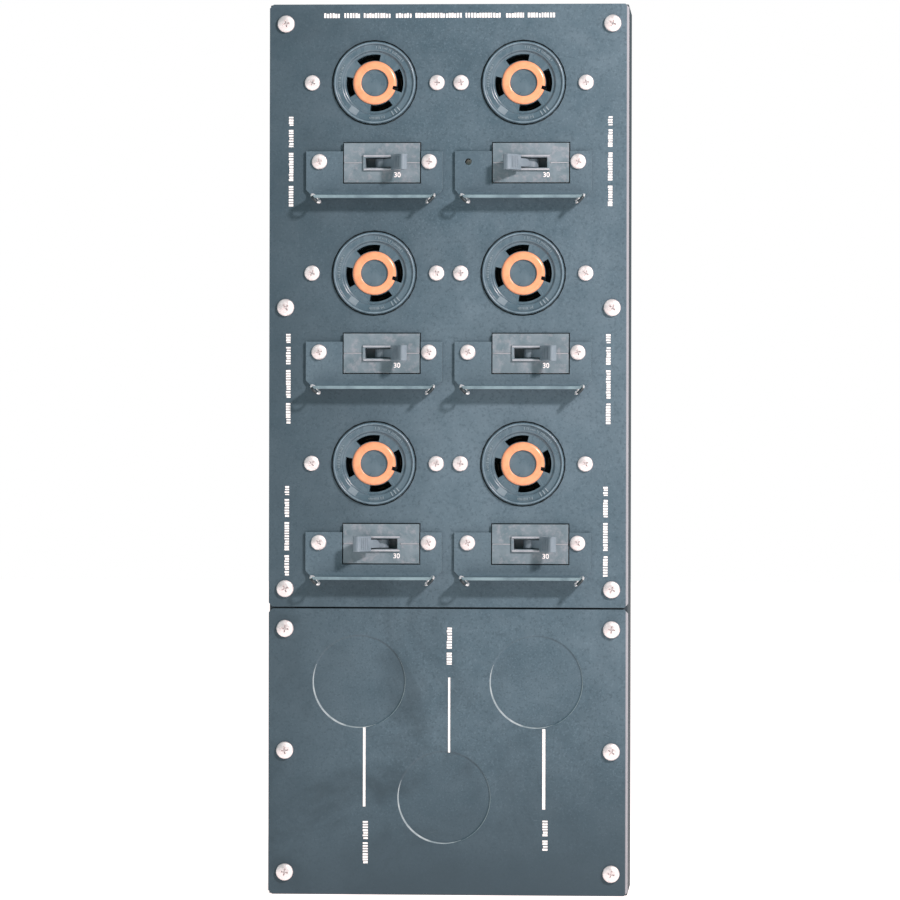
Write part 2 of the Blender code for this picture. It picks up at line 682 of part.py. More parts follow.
def bracket_mesh():
    """The breaker's guard: a sheet open at its top round the breaker, its lower edge bent out."""
    corners = [
        (-BRACKET_HALF, BRACKET_TOP, GAP),
        (-BRACKET_HALF, BRACKET_BOTTOM, GAP),
        (-BRACKET_HALF, BRACKET_BOTTOM, LIP_REACH),
    ]
    inside = (0.0, BRACKET_TOP, LIP_REACH)
    sweep = (2.0 * BRACKET_HALF, 0.0, 0.0)
    sheet = folded(corners, sweep, BRACKET_SHEET, BRACKET_BEND, inside, BRACKET_BEND_STEPS)
    width, height = (side / 2.0 + BREAKER_CUTOUT_MARGIN for side in BREAKER_FACE)
    x, y = BREAKER_OFFSET.x, BREAKER_OFFSET.y
    notch = block((x - width, y - height, -MM), (x + width, BRACKET_TOP + MM, 2.0 * BRACKET_SHEET))
    tools = [notch]
    lip_x, lip_z, lip_radius = LIP_HOLE
    below, beyond = BRACKET_BOTTOM - MM, BRACKET_HALF + MM
    for side in (-1.0, 1.0):
        x = side * BRACKET_SCREW_X
        tools.append(rod((x, 0.0, -MM), (x, 0.0, 2.0 * BRACKET_SHEET + GAP), DEVICE_HOLE))
        corner = [
            (side * beyond, BRACKET_CORNER + MM), (side * beyond, below), (side * LIP_HALF, below),
            (side * LIP_HALF, BRACKET_CORNER - BRACKET_HALF + LIP_HALF),
        ]
        tools.append(flat([corner], -MM, LIP_REACH + MM))
        ends = [(side * lip_x, y, lip_z) for y in (below, BRACKET_BOTTOM + 2.0 * BRACKET_SHEET)]
        tools.append(rod(*ends, lip_radius, HOLE_ROUND))
    return cut(sheet, *tools)


def add_receptacles():
    body, ring, strap = receptacle_body_mesh(), orange_ring_mesh(), strap_mesh()
    for number, (x, z) in grid():
        place = add_place(f"receptacle_place_{number}", x, z)
        add(f"receptacle_body_{number}", body, "receptacle", place)
        add(f"receptacle_ring_{number}", ring, "orange", place)
        add(f"receptacle_strap_{number}", strap, "strap", place)


def add_breakers():
    case, handle, bracket = breaker_case_mesh(), handle_mesh(), bracket_mesh()
    pivot = BREAKER_OFFSET + Vector((0.0, 0.0, BREAKER_PROUD - PIVOT_DEPTH))
    for (number, (x, z)), to_the_right in zip(grid(), HANDLES_TO_THE_RIGHT):
        place = add_place(f"breaker_place_{number}", x, z - BREAKER_DROP)
        throw = math.radians(HANDLE_THROW if to_the_right else -HANDLE_THROW)
        add(f"breaker_case_{number}", case, "breaker", place)
        add(f"breaker_handle_{number}", handle, "handle", place, pivot, (0.0, throw, 0.0))
        add(f"breaker_bracket_{number}", bracket, "bracket", place)


def add_terminal_plate():
    half = OUTER - CHASSIS_SHEET - CHASSIS_GAP
    low, high = TERMINAL_PLATE_SPAN
    front, rear = TERMINAL_PLATE_Y, TERMINAL_PLATE_Y + TERMINAL_FLANGE
    corners = [(-half, rear, low), (-half, front, low), (half, front, low), (half, rear, low)]
    mesh = chassis_channel(corners, (0.0, 0.0, high - low), inside=(0.0, 0.0, low))
    add("terminal_plate", mesh, "strap")


def add_terminal_block():
    width, height, depth = TERMINAL_BLOCK
    barrier_w, barrier_d = BARRIER
    base = block((-width / 2, -height / 2, GAP), (width / 2, height / 2, depth))
    pitch = (width - barrier_w) / (TERMINAL_BARRIERS - 1)
    barriers = []
    for i in range(TERMINAL_BARRIERS):
        left = -width / 2 + i * pitch
        low = (left, -height / 2, depth - MM)
        barriers.append(block(low, (left + barrier_w, height / 2, depth + barrier_d)))
    mesh = combined(base, [gathered(barriers)], "UNION")
    place = (0.0, TERMINAL_PLATE_Y, TERMINAL_BLOCK_Z)
    add("terminal_block", mesh, "terminal", None, place, FACING.to_euler())


def add_ground_bar():
    width, height, depth = GROUND_BAR
    foot_w, foot_d = GROUND_FOOT
    bar = block((-width / 2, -height / 2, foot_d), (width / 2, height / 2, foot_d + depth))
    feet = [
        block((x - foot_w / 2, -height / 2, GAP), (x + foot_w / 2, height / 2, foot_d + MM))
        for x in (foot_w / 2 - width / 2, width / 2 - foot_w / 2)
    ]
    bar = combined(bar, [gathered(feet)], "UNION")
    pitch = (width - 3.0 * foot_w) / (GROUND_HOLES - 1)
    low, high = foot_d - MM, foot_d + depth + MM
    hole_xs = [pitch * (i - (GROUND_HOLES - 1) / 2.0) for i in range(GROUND_HOLES)]
    holes = [rod((x, 0.0, low), (x, 0.0, high), GROUND_HOLE, HOLE_ROUND) for x in hole_xs]
    place = (0.0, TERMINAL_PLATE_Y, GROUND_BAR_Z)
    add("ground_bar", cut(bar, *holes), "brass", None, place, FACING.to_euler())


def add_wiring_loom():
    """The sleeved bundle down the middle, with a branch to the back of each receptacle and breaker."""
    top = ROWS[0] + TRUNK_BEYOND_ROW
    bottom = TERMINAL_BLOCK_Z + TERMINAL_BLOCK[1] / 2.0 + TRUNK_ABOVE_BLOCK
    trunk = rod((0.0, TRUNK_Y, bottom), (0.0, TRUNK_Y, top), TRUNK_RADIUS)
    receptacle_back = -DEPTH + BODY_DEPTH + LOOM_CLEARANCE
    case_back = -DEPTH + BREAKER_DEPTH + LOOM_CLEARANCE
    entry_in, entry_up = RECEPTACLE_ENTRY
    start_up, (bend_in, bend_back, bend_up), (end_in, end_back) = RECEPTACLE_BRANCH
    case_up, case_bend, case_run, (case_in, case_off) = BREAKER_BRANCH
    branches = []
    for _, (x, z) in grid():
        side = math.copysign(1.0, x)
        entry = x - side * entry_in
        branches.append(tube([
            (0.0, TRUNK_Y, z + start_up),
            (side * bend_in, TRUNK_Y + bend_back, z + bend_up),
            (entry - side * end_in, receptacle_back + end_back, z + entry_up),
            (entry, receptacle_back, z + entry_up),
        ], BRANCH_RADIUS))
        z += BREAKER_OFFSET.y - BREAKER_DROP
        middle = x + BREAKER_OFFSET.x
        branches.append(tube([
            (0.0, TRUNK_Y, z + case_up),
            (side * case_bend[0], TRUNK_Y + case_bend[1], z + case_bend[2]),
            (middle - side * case_run[0], case_back + case_run[1], z + case_run[2]),
            (middle - side * case_in, case_back + case_off, z),
            (middle, case_back, z),
        ], BRANCH_RADIUS))
    add("wiring_loom", combined(trunk, [gathered(branches)], "UNION"), "loom")


add_upper_plate()
add_lower_plate()
add_rails()
add_cross_members()
add_rear_tie_bar()
add_plate_screws()
add_receptacles()
add_breakers()
add_terminal_plate()
add_terminal_block()
add_ground_bar()
add_wiring_loom()
bpy.data.collections.remove(BENCH)
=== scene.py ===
"""The looks of the power distribution panel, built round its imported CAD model.

Everything is in metres: +Z is up, the front faces -Y, and y = 0 is the rear mounting plane.
A device's own frame has x to the right, y up and z out of the panel, with z = 0 on the panel's front.
"""

import math
import random

import bmesh
import bpy
from mathutils import Matrix, Vector


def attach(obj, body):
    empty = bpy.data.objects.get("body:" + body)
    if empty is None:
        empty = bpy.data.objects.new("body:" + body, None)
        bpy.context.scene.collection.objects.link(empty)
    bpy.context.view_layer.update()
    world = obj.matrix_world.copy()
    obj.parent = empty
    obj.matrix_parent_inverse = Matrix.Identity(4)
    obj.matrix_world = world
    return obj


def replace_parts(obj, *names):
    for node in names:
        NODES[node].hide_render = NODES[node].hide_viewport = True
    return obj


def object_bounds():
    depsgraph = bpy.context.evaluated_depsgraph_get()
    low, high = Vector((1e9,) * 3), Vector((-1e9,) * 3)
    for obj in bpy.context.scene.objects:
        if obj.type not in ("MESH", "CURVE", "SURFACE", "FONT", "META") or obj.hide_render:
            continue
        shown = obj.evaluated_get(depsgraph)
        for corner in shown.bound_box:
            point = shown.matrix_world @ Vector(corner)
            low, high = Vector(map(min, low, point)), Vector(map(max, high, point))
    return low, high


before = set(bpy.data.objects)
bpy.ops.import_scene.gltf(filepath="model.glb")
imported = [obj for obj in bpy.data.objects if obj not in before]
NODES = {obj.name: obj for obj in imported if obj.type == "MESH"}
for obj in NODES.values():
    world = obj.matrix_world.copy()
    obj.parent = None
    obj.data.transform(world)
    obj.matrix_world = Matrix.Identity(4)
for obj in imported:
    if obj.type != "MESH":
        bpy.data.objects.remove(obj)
CAD_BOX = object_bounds()

MM = 0.001
DEPTH = 88.0 * MM
COLUMNS = (-49.7 * MM, 49.7 * MM)
ROWS = (244.6 * MM, 117.6 * MM, -9.4 * MM)
BREAKER_DROP = 52.8 * MM
HANDLES_TO_THE_RIGHT = (True, False, True, True, False, True)
CASE_X, CASE_Y = 5.1 * MM, -0.7 * MM
RECEPTACLE_SCREW_X = 41.67 * MM
BRACKET_SCREW_X = 36.65 * MM
PLATE_SCREW_X = 109.0 * MM
PLATE_SCREW_ROWS = tuple(z * MM for z in (283.9, 94.6, -93.1, -119.7, -201.0, -282.3))
FACING = Matrix.Rotation(math.pi / 2.0, 4, "X")
GRID = list(enumerate([(x, z) for z in ROWS for x in COLUMNS], start=1))
SIDES = (("left", -1.0), ("right", 1.0))


# ---------------------------------------------------------------- materials


class Look:
    """Shorthand for one node material on a Principled shader, with textures in the object's own metres."""

    def __init__(self, name, metallic=0.0, specular=0.5):
        self.material = bpy.data.materials.new(name)
        self.material.use_nodes = True
        self.tree = self.material.node_tree
        self.shader = self.tree.nodes["Principled BSDF"]
        self.shader.inputs["Metallic"].default_value = metallic
        self.shader.inputs["Specular IOR Level"].default_value = specular
        self.place = self.tree.nodes.new("ShaderNodeTexCoord").outputs["Object"]
        self.normal = None

    def new(self, kind, **settings):
        node = self.tree.nodes.new(kind)
        for key, value in settings.items():
            setattr(node, key, value)
        return node

    def set(self, socket, value):
        """Links a socket, or gives it a constant."""
        if isinstance(value, bpy.types.NodeSocket):
            self.tree.links.new(value, socket)
        else:
            socket.default_value = value

    def noise(self, scale, detail=3.0, rough=0.55, stretch=(1.0, 1.0, 1.0), turn=0.0, warp=0.0):
        mapping = self.new("ShaderNodeMapping")
        mapping.inputs["Scale"].default_value = stretch
        mapping.inputs["Rotation"].default_value = (0.0, turn, 0.0)
        self.set(mapping.inputs["Vector"], self.place)
        node = self.new("ShaderNodeTexNoise")
        node.inputs["Scale"].default_value = scale
        node.inputs["Detail"].default_value = detail
        node.inputs["Roughness"].default_value = rough
        node.inputs["Distortion"].default_value = warp
        self.set(node.inputs["Vector"], mapping.outputs["Vector"])
        return node.outputs["Fac"]

    def math(self, operation, a, b=0.0):
        node = self.new("ShaderNodeMath", operation=operation)
        self.set(node.inputs[0], a)
        self.set(node.inputs[1], b)
        return node.outputs[0]

    def times(self, a, b):
        return self.math("MULTIPLY", a, b)

    def range(self, value, low, high, to_low=0.0, to_high=1.0):
        node = self.new("ShaderNodeMapRange", interpolation_type="SMOOTHSTEP")
        for socket, item in zip(node.inputs, (value, low, high, to_low, to_high)):
            self.set(socket, item)
        return node.outputs["Result"]

    def ramp(self, fac, *stops):
        node = self.new("ShaderNodeValToRGB")
        elements = node.color_ramp.elements
        while len(elements) < len(stops):
            elements.new(0.5)
        for element, (position, colour) in zip(elements, stops):
            element.position = position
            element.color = (*colour, 1.0)
        self.set(node.inputs["Fac"], fac)
        return node.outputs["Color"]

    def mix(self, fac, a, b):
        node = self.new("ShaderNodeMix", data_type="RGBA")
        self.set(node.inputs[0], fac)
        self.set(node.inputs[6], a if isinstance(a, bpy.types.NodeSocket) else (*a, 1.0))
        self.set(node.inputs[7], b if isinstance(b, bpy.types.NodeSocket) else (*b, 1.0))
        return node.outputs[2]

    def axis(self, name):
        node = self.new("ShaderNodeSeparateXYZ")
        self.set(node.inputs[0], self.place)
        return node.outputs[name]

    def edges(self, radius):
        """Near 1 along sharp outer edges, from how far a rounded normal turns away from the real one."""
        rounded = self.new("ShaderNodeBevel", samples=4)
        rounded.inputs["Radius"].default_value = radius
        surface = self.new("ShaderNodeNewGeometry")
        dot = self.new("ShaderNodeVectorMath", operation="DOT_PRODUCT")
        self.set(dot.inputs[0], rounded.outputs["Normal"])
        self.set(dot.inputs[1], surface.outputs["Normal"])
        return self.range(dot.outputs["Value"], 0.985, 0.80)

    def bump(self, height, distance):
        node = self.new("ShaderNodeBump")
        node.inputs["Distance"].default_value = distance
        self.set(node.inputs["Height"], height)
        if self.normal is not None:
            self.set(node.inputs["Normal"], self.normal)
        self.normal = node.outputs["Normal"]

    def done(self, colour, roughness):
        self.set(self.shader.inputs["Base Color"], colour)
        self.set(self.shader.inputs["Roughness"], roughness)
        if self.normal is not None:
            self.set(self.shader.inputs["Normal"], self.normal)
        return self.material


# The plates' darker blotches, painted shade and painted edge highlight: ranges across and up the panel, in
# metres, over which each grows
BLOTCH_X, BLOTCH_Z = (0.11, -0.12), (0.06, -0.30)
PAINTED_SHADE_X, PAINTED_SHADE_Z = (0.02, -0.13), (-0.16, -0.31)
PAINTED_EDGE_HIGHLIGHT_X = (0.1181, 0.1189)
PAINTED_EDGE_HIGHLIGHT = (0.47, 0.45, 0.48)


def scaled(colour, factor):
    return tuple(min(1.0, factor * channel) for channel in colour)


def paint(name, dark, light, bare, roughness=0.46, blotches_and_painted_light=0.0, edge_wear_and_highlight=0.5, lip=None):
    """A satin powder coat: orange peel, cloudy colour, darker blotches growing towards the lower left,
    painted shade towards the left and the bottom, a painted highlight along the right edge, worn edges
    that also paint edge highlights, and a painted highlight on the lip.
    """
    look = Look(name, specular=0.30)
    cloud = look.noise(4.2, 4.0, 0.6)
    mottle = look.noise(48.0, 6.0, 0.65, warp=0.4)
    tone = look.math("ADD", look.times(cloud, 0.68), look.times(mottle, 0.32))
    colour = look.ramp(tone, (0.36, dark), (0.62, light))
    speck = look.range(look.noise(780.0, 3.0, 0.6), 0.52, 0.70)
    colour = look.mix(look.times(speck, 0.38), colour, scaled(light, 1.30))
    pit = look.range(look.noise(620.0, 3.0, 0.6), 0.48, 0.34)
    colour = look.mix(look.times(pit, 0.42), colour, scaled(dark, 0.66))
    if blotches_and_painted_light:
        # Darker blotches that grow towards the lower left.
        blotches = look.range(look.noise(14.0, 5.0, 0.62, warp=1.0), 0.40, 0.70)
        low = look.range(look.axis("Z"), *BLOTCH_Z, 0.25, 1.0)
        left = look.range(look.axis("X"), *BLOTCH_X, 0.30, 1.0)
        darkening = look.times(look.times(blotches, look.times(low, left)), blotches_and_painted_light)
        colour = look.mix(darkening, colour, scaled(dark, 0.40))
        # Painted shade: the plate darkens towards its left and towards its bottom.
        aside = look.range(look.axis("X"), *PAINTED_SHADE_X, 0.0, 0.65)
        below = look.range(look.axis("Z"), *PAINTED_SHADE_Z, 0.0, 0.90)
        colour = look.mix(look.math("MAXIMUM", aside, below), colour, scaled(dark, 0.58))
        # Painted highlight: a pale line along the plate's right edge.
        wear_and_highlight = look.times(look.range(look.axis("X"), *PAINTED_EDGE_HIGHLIGHT_X), 0.62)
        colour = look.mix(wear_and_highlight, colour, PAINTED_EDGE_HIGHLIGHT)
    streaks = look.noise(42.0, 6.0, 0.7, stretch=(1.0, 1.0, 16.0), turn=0.5)
    colour = look.mix(look.times(look.range(streaks, 0.705, 0.73), 0.16), colour, bare)
    chips = look.range(look.noise(420.0, 4.0, 0.6), 0.40, 0.62)
    worn_and_lit_edges = look.times(look.times(look.edges(0.30 * MM), chips), edge_wear_and_highlight)
    colour = look.mix(worn_and_lit_edges, colour, bare)
    # Painted highlight on the lip's front face, in patches.
    if lip:
        front = look.range(look.axis("Y"), lip, lip - 0.5 * MM)
        patchy = look.range(look.noise(60.0, 4.0, 0.6), 0.30, 0.62, 0.25, 0.85)
        colour = look.mix(look.times(front, patchy), colour, bare)
    look.bump(look.noise(700.0, 2.0, 0.45), 0.040 * MM)
    look.bump(look.noise(3200.0, 2.0, 0.5), 0.008 * MM)
    return look.done(colour, look.range(mottle, 0.30, 0.70, roughness - 0.05, roughness + 0.07))


def zinc(name, dark, light, roughness=0.28, brushed=(1.0, 1.0, 1.0), metallic=1.0):
    """Bright plating, a little cloudy and lightly scuffed."""
    look = Look(name, metallic=metallic)
    cloud = look.noise(230.0, 5.0, 0.62)
    colour = look.ramp(cloud, (0.32, dark), (0.68, light))
    spots = look.range(look.noise(1100.0, 3.0), 0.64, 0.76)
    colour = look.mix(look.times(spots, 0.30), colour, scaled(dark, 0.55))
    look.bump(look.noise(1400.0, 3.0, 0.6, stretch=brushed), 0.010 * MM)
    return look.done(colour, look.range(cloud, 0.30, 0.70, roughness - 0.06, roughness + 0.12))


def moulding(name, dark, light, roughness=0.36, specular=0.5, dust=None, rub=0.10, highlight_crest=None):
    """Moulded plastic: spark texture, flow clouds, dust if it has a colour, and a painted highlight on a
    crest.
    """
    look = Look(name, specular=specular)
    flow = look.noise(85.0, 5.0, 0.6, warp=0.7)
    colour = look.ramp(flow, (0.34, dark), (0.68, light))
    speck = look.range(look.noise(2600.0, 2.0), 0.61, 0.75)
    colour = look.mix(look.times(speck, 0.35), colour, scaled(light, 1.35))
    if dust:
        film = look.range(look.noise(260.0, 5.0, 0.65), 0.48, 0.70)
        colour = look.mix(look.times(film, 0.35), colour, dust)
    pale = tuple(min(1.0, 1.6 * channel + 0.02) for channel in light)
    wear_and_highlight = look.times(look.edges(0.25 * MM), look.range(look.noise(500.0, 3.0), 0.38, 0.60))
    colour = look.mix(look.times(wear_and_highlight, rub), colour, pale)
    # Painted highlight: lighter in patches along the crest's top.
    if highlight_crest:
        high = look.range(look.axis("Z"), highlight_crest - 0.35 * MM, highlight_crest)
        patchy = look.range(look.noise(120.0, 3.0, 0.6), 0.30, 0.66, 0.15, 0.75)
        colour = look.mix(look.times(high, patchy), colour, pale)
    look.bump(look.noise(1900.0, 3.0, 0.55), 0.010 * MM)
    return look.done(colour, look.range(flow, 0.30, 0.70, roughness - 0.04, roughness + 0.07))


def ink(name, dark, light):
    """Screen-printed ink: nearly opaque, slightly chalky, with pinholes."""
    look = Look(name, specular=0.35)
    chalk = look.noise(900.0, 4.0, 0.6)
    colour = look.ramp(chalk, (0.36, dark), (0.56, light))
    look.bump(look.noise(2400.0, 2.0), 0.008 * MM)
    return look.done(colour, look.range(chalk, 0.3, 0.7, 0.50, 0.66))


def insulation(name, colour, lighter):
    """Wire insulation: soft sheen with faint draw lines along it."""
    look = Look(name, specular=0.45)
    cloud = look.noise(320.0, 4.0)
    tint = look.ramp(cloud, (0.35, colour), (0.70, lighter))
    look.bump(look.noise(1700.0, 2.0, stretch=(1.0, 1.0, 0.15)), 0.012 * MM)
    return look.done(tint, look.range(cloud, 0.3, 0.7, 0.38, 0.52))


def slot_shade(name):
    """Near-black for the floor of a contact slot: painted shade deep in the slot."""
    look = Look(name, specular=0.2)
    soot = look.noise(700.0, 3.0)
    look.bump(look.noise(1500.0, 2.0), 0.01 * MM)
    return look.done(look.ramp(soot, (0.3, (0.002, 0.007, 0.008)), (0.7, (0.004, 0.014, 0.015))), 0.75)


LOOKS = {
    "plate": paint("plate_paint", (0.052, 0.090, 0.116), (0.101, 0.150, 0.184), (0.34, 0.40, 0.43),
                   blotches_and_painted_light=0.90, edge_wear_and_highlight=0.12),
    # The chassis paint is much darker than the plates': partly its own colour, partly painted shade on its
    # sides.
    "chassis": paint("chassis_paint", (0.018, 0.028, 0.036), (0.030, 0.044, 0.056), (0.30, 0.32, 0.33),
                     0.62, edge_wear_and_highlight=0.4),
    # The bracket's strong edge wear also paints highlights along its edges, and its lip carries a painted
    # highlight.
    "bracket": paint("bracket_paint", (0.061, 0.100, 0.128), (0.096, 0.144, 0.176), (0.21, 0.30, 0.33),
                     edge_wear_and_highlight=0.8, lip=-DEPTH - 13.7 * MM),
    # Pale looks for painted highlights on the knock-outs' walls.
    "wear_and_highlight": moulding("knockout_highlight_paint", (0.150, 0.205, 0.230), (0.370, 0.425, 0.445), 0.46),
    "faint_painted_highlight": moulding("knockout_faint_highlight_paint", (0.130, 0.190, 0.215), (0.280, 0.350, 0.370), 0.46),
    "screw": zinc("zinc_screw", (0.66, 0.60, 0.60), (0.92, 0.85, 0.85), 0.38, metallic=0.55),
    "loop": zinc("steel_loop", (0.78, 0.78, 0.79), (0.95, 0.95, 0.95), 0.30, metallic=0.6),
    "strap": zinc("plated_strap", (0.46, 0.46, 0.43), (0.64, 0.63, 0.58), 0.34, (1.0, 1.0, 0.08)),
    "tray": zinc("plated_tray", (0.50, 0.51, 0.50), (0.66, 0.66, 0.64), 0.36, (0.06, 1.0, 1.0)),
    "brass": zinc("brass", (0.62, 0.40, 0.15), (0.80, 0.56, 0.24), 0.26, (0.1, 1.0, 1.0)),
    # The contact blades are painted near black, as shade deep in the slots.
    "shaded_contact": zinc("shaded_contact_brass", (0.014, 0.012, 0.008), (0.030, 0.024, 0.015), 0.50, metallic=0.8),
    # The receptacle's rim crest is painted lighter, as a highlight.
    "receptacle": moulding("receptacle_nylon", (0.058, 0.098, 0.126), (0.094, 0.142, 0.174), 0.28, 0.6,
                           rub=0.25, highlight_crest=2.45 * MM),
    # The raised marks are lighter than the body: a painted highlight on their tops.
    "relief_highlight": moulding("receptacle_relief_highlight", (0.150, 0.205, 0.240), (0.215, 0.275, 0.310), 0.38),
    "label": moulding("receptacle_pad", (0.140, 0.190, 0.225), (0.205, 0.258, 0.290), 0.5),
    "orange": moulding("orange_insert", (0.680, 0.262, 0.125), (0.820, 0.350, 0.185), 0.28, 0.6),
    "breaker": moulding("breaker_plastic", (0.104, 0.153, 0.180), (0.173, 0.223, 0.256), 0.44,
                        dust=(0.36, 0.34, 0.37)),
    "handle": moulding("handle_plastic", (0.135, 0.180, 0.215), (0.205, 0.250, 0.290), 0.40),
    # The guides are paler than the case: painted highlights on the slot's collar and seams.
    "highlight_guide": moulding("highlight_guide_plastic", (0.270, 0.300, 0.335), (0.410, 0.425, 0.455), 0.40),
    # Near-black rubber for sheets that close gaps and darken the loops' middles: painted shade.
    "shade_rubber": insulation("shade_rubber_dark", (0.012, 0.020, 0.025), (0.024, 0.036, 0.042)),
    "terminal": moulding("terminal_plastic", (0.010, 0.010, 0.011), (0.022, 0.022, 0.023), 0.42),
    "ink": ink("white_ink", (0.70, 0.67, 0.66), (0.95, 0.92, 0.91)),
    "slot_shade": slot_shade("slot_floor_shade"),
    "black_wire": insulation("black_wire", (0.010, 0.010, 0.011), (0.024, 0.024, 0.025)),
    "white_wire": insulation("white_wire", (0.55, 0.54, 0.50), (0.72, 0.71, 0.68)),
    "green_wire": insulation("green_wire", (0.012, 0.120, 0.030), (0.030, 0.190, 0.055)),
    "red_wire": insulation("red_wire", (0.30, 0.018, 0.014), (0.44, 0.040, 0.030)),
    "tie": insulation("cable_tie", (0.50, 0.49, 0.44), (0.66, 0.65, 0.60)),
}


# ---------------------------------------------------------------- meshes


def shift(x, y, z):
    return Matrix.Translation((x, y, z))


def about(axis, degrees):
    return Matrix.Rotation(math.radians(degrees), 4, axis)


def linked(name, data):
    """A new object in the scene."""
    obj = bpy.data.objects.new(name, data)
    bpy.context.scene.collection.objects.link(obj)
    return obj


def from_form(form, name="form"):
    mesh = bpy.data.meshes.new(name)
    form.to_mesh(mesh)
    form.free()
    return mesh


def closed(form):
    """The form's mesh with its faces turned outwards."""
    bmesh.ops.recalc_face_normals(form, faces=form.faces)
    return from_form(form)


def lathe(profile, steps=72):
    """A solid of revolution about z from (radius, z) points that end on the axis or make a closed ring."""
    form = bmesh.new()
    turns = [2.0 * math.pi * i / steps for i in range(steps)]
    rings = []
    for radius, height in profile:
        around = [(math.cos(t), math.sin(t)) for t in (turns if radius > 0.0 else turns[:1])]
        rings.append([form.verts.new((radius * x, radius * y, height)) for x, y in around])
    if len(rings[0]) > 1:
        rings.append(rings[0])
    for upper, lower in zip(rings, rings[1:]):
        for i in range(steps):
            ends = ((upper, i), (lower, i), (lower, i + 1), (upper, i + 1))
            corners = list(dict.fromkeys(ring[k % len(ring)] for ring, k in ends))
            if len(corners) > 2:
                form.faces.new(corners)
    return closed(form)


def turned(profile, steps=72):
    """A lathed solid whose profile is in millimetres."""
    return lathe([(radius * MM, height * MM) for radius, height in profile], steps)


def peg(radius, top, bottom, steps):
    """A plain cylinder, in millimetres, that cuts a hole."""
    return turned([(0.0, top), (radius, top), (radius, bottom), (0.0, bottom)], steps)


def skinned(sections):
    """A closed solid through sections that have the same number of corners."""
    form = bmesh.new()
    rings = [[form.verts.new(corner) for corner in section] for section in sections]
    for near, far in zip(rings, rings[1:]):
        for i in range(len(near)):
            j = (i + 1) % len(near)
            form.faces.new([near[i], near[j], far[j], far[i]])
    form.faces.new(rings[0])
    form.faces.new(rings[-1])
    return closed(form)


def prism(outline, bottom, top):
    """A flat solid in the xy plane between two heights."""
    form = bmesh.new()
    base = form.faces.new([form.verts.new((x, y, bottom)) for x, y in outline])
    extruded = bmesh.ops.extrude_face_region(form, geom=[base])["geom"]
    raised = [item for item in extruded if isinstance(item, bmesh.types.BMVert)]
    bmesh.ops.translate(form, vec=(0.0, 0.0, top - bottom), verts=raised)
    return closed(form)


def rounded_block(low, high, radius, segments=3):
    """A block with rounded edges."""
    low, high = Vector(low), Vector(high)
    form = bmesh.new()
    bmesh.ops.create_cube(form, size=1.0)
    bmesh.ops.scale(form, vec=high - low, verts=form.verts)
    bmesh.ops.translate(form, vec=(low + high) / 2.0, verts=form.verts)
    bmesh.ops.bevel(form, geom=form.edges[:], offset=radius, segments=segments, profile=0.5,
                    affect="EDGES", clamp_overlap=True)
    return from_form(form)


def block(low, high, radius, segments=3):
    """A block with rounded edges, in millimetres."""
    return rounded_block(Vector(low) * MM, Vector(high) * MM, radius * MM, segments)


def merged(*meshes):
    form = bmesh.new()
    for mesh in meshes:
        form.from_mesh(mesh)
    return from_form(form)


def moved(mesh, *matrices):
    for matrix in matrices:
        mesh.transform(matrix)
    return mesh


def baked(data, *modifiers):
    """The mesh of a mesh, curve or text after modifiers, each given as (type, settings)."""
    work = linked("work", data)
    for kind, settings in modifiers:
        modifier = work.modifiers.new(kind.title(), kind)
        for key, value in settings.items():
            setattr(modifier, key, value)
    bpy.context.view_layer.update()
    result = bpy.data.meshes.new_from_object(work.evaluated_get(bpy.context.evaluated_depsgraph_get()))
    bpy.data.objects.remove(work)
    return result


def carved(base, tools, operation="DIFFERENCE"):
    """The base with the tools cut out of it, or joined to it."""
    cutter = linked("cutter", merged(*tools))
    result = baked(base, ("BOOLEAN", {"operation": operation, "solver": "EXACT", "object": cutter}))
    bpy.data.objects.remove(cutter)
    return result


def joined(base, *others):
    return carved(base, others, "UNION")


def softened(mesh, width, segments=2, angle=35.0):
    """Small rounds on the mesh's sharp edges."""
    settings = {
        "width": width, "segments": segments, "limit_method": "ANGLE", "angle_limit": math.radians(angle),
        "use_clamp_overlap": True,
    }
    return baked(mesh, ("BEVEL", settings))


def swept(points, radius, sides=10, cyclic=False):
    """A round wire through the points, with flat ends unless it is a closed loop."""
    curve = bpy.data.curves.new("wire", "CURVE")
    curve.dimensions = "3D"
    curve.bevel_depth = radius
    curve.bevel_resolution = max(0, sides // 2 - 2)
    curve.use_fill_caps = not cyclic
    spline = curve.splines.new("POLY")
    spline.points.add(len(points) - 1)
    for point, place in zip(spline.points, points):
        point.co = (*place, 1.0)
    spline.use_cyclic_u = cyclic
    form = bmesh.new()
    form.from_mesh(baked(curve))
    bmesh.ops.remove_doubles(form, verts=form.verts, dist=0.001 * MM)
    return closed(form)


def smooth_path(points, per_span=6):
    """Catmull-Rom points through the given ones."""
    points = [Vector(point) for point in points]
    padded = [points[0] * 2.0 - points[1], *points, points[-1] * 2.0 - points[-2]]
    path = []
    for a, b, c, d in zip(padded, padded[1:], padded[2:], padded[3:]):
        for step in range(per_span):
            t = step / per_span
            path.append(
                0.5 * (2.0 * b + (c - a) * t + (2.0 * a - 5.0 * b + 4.0 * c - d) * t**2
                       + (3.0 * b - a - 3.0 * c + d) * t**3)
            )
    path.append(points[-1])
    return path


def arc_band(inner, outer, start, end, steps=16):
    """The outline of a slot that follows a circle between two angles, in degrees."""
    angles = [math.radians(start + (end - start) * i / steps) for i in range(steps + 1)]
    far = [(outer * math.cos(a), outer * math.sin(a)) for a in angles]
    near = [(inner * math.cos(a), inner * math.sin(a)) for a in reversed(angles)]
    return far + near


# ---------------------------------------------------------------- pieces


SHARP_ANGLE = math.radians(36.0)
# The angle, in degrees, above which a piece's edge is drawn sharp
EDGE_ANGLE = 35.0


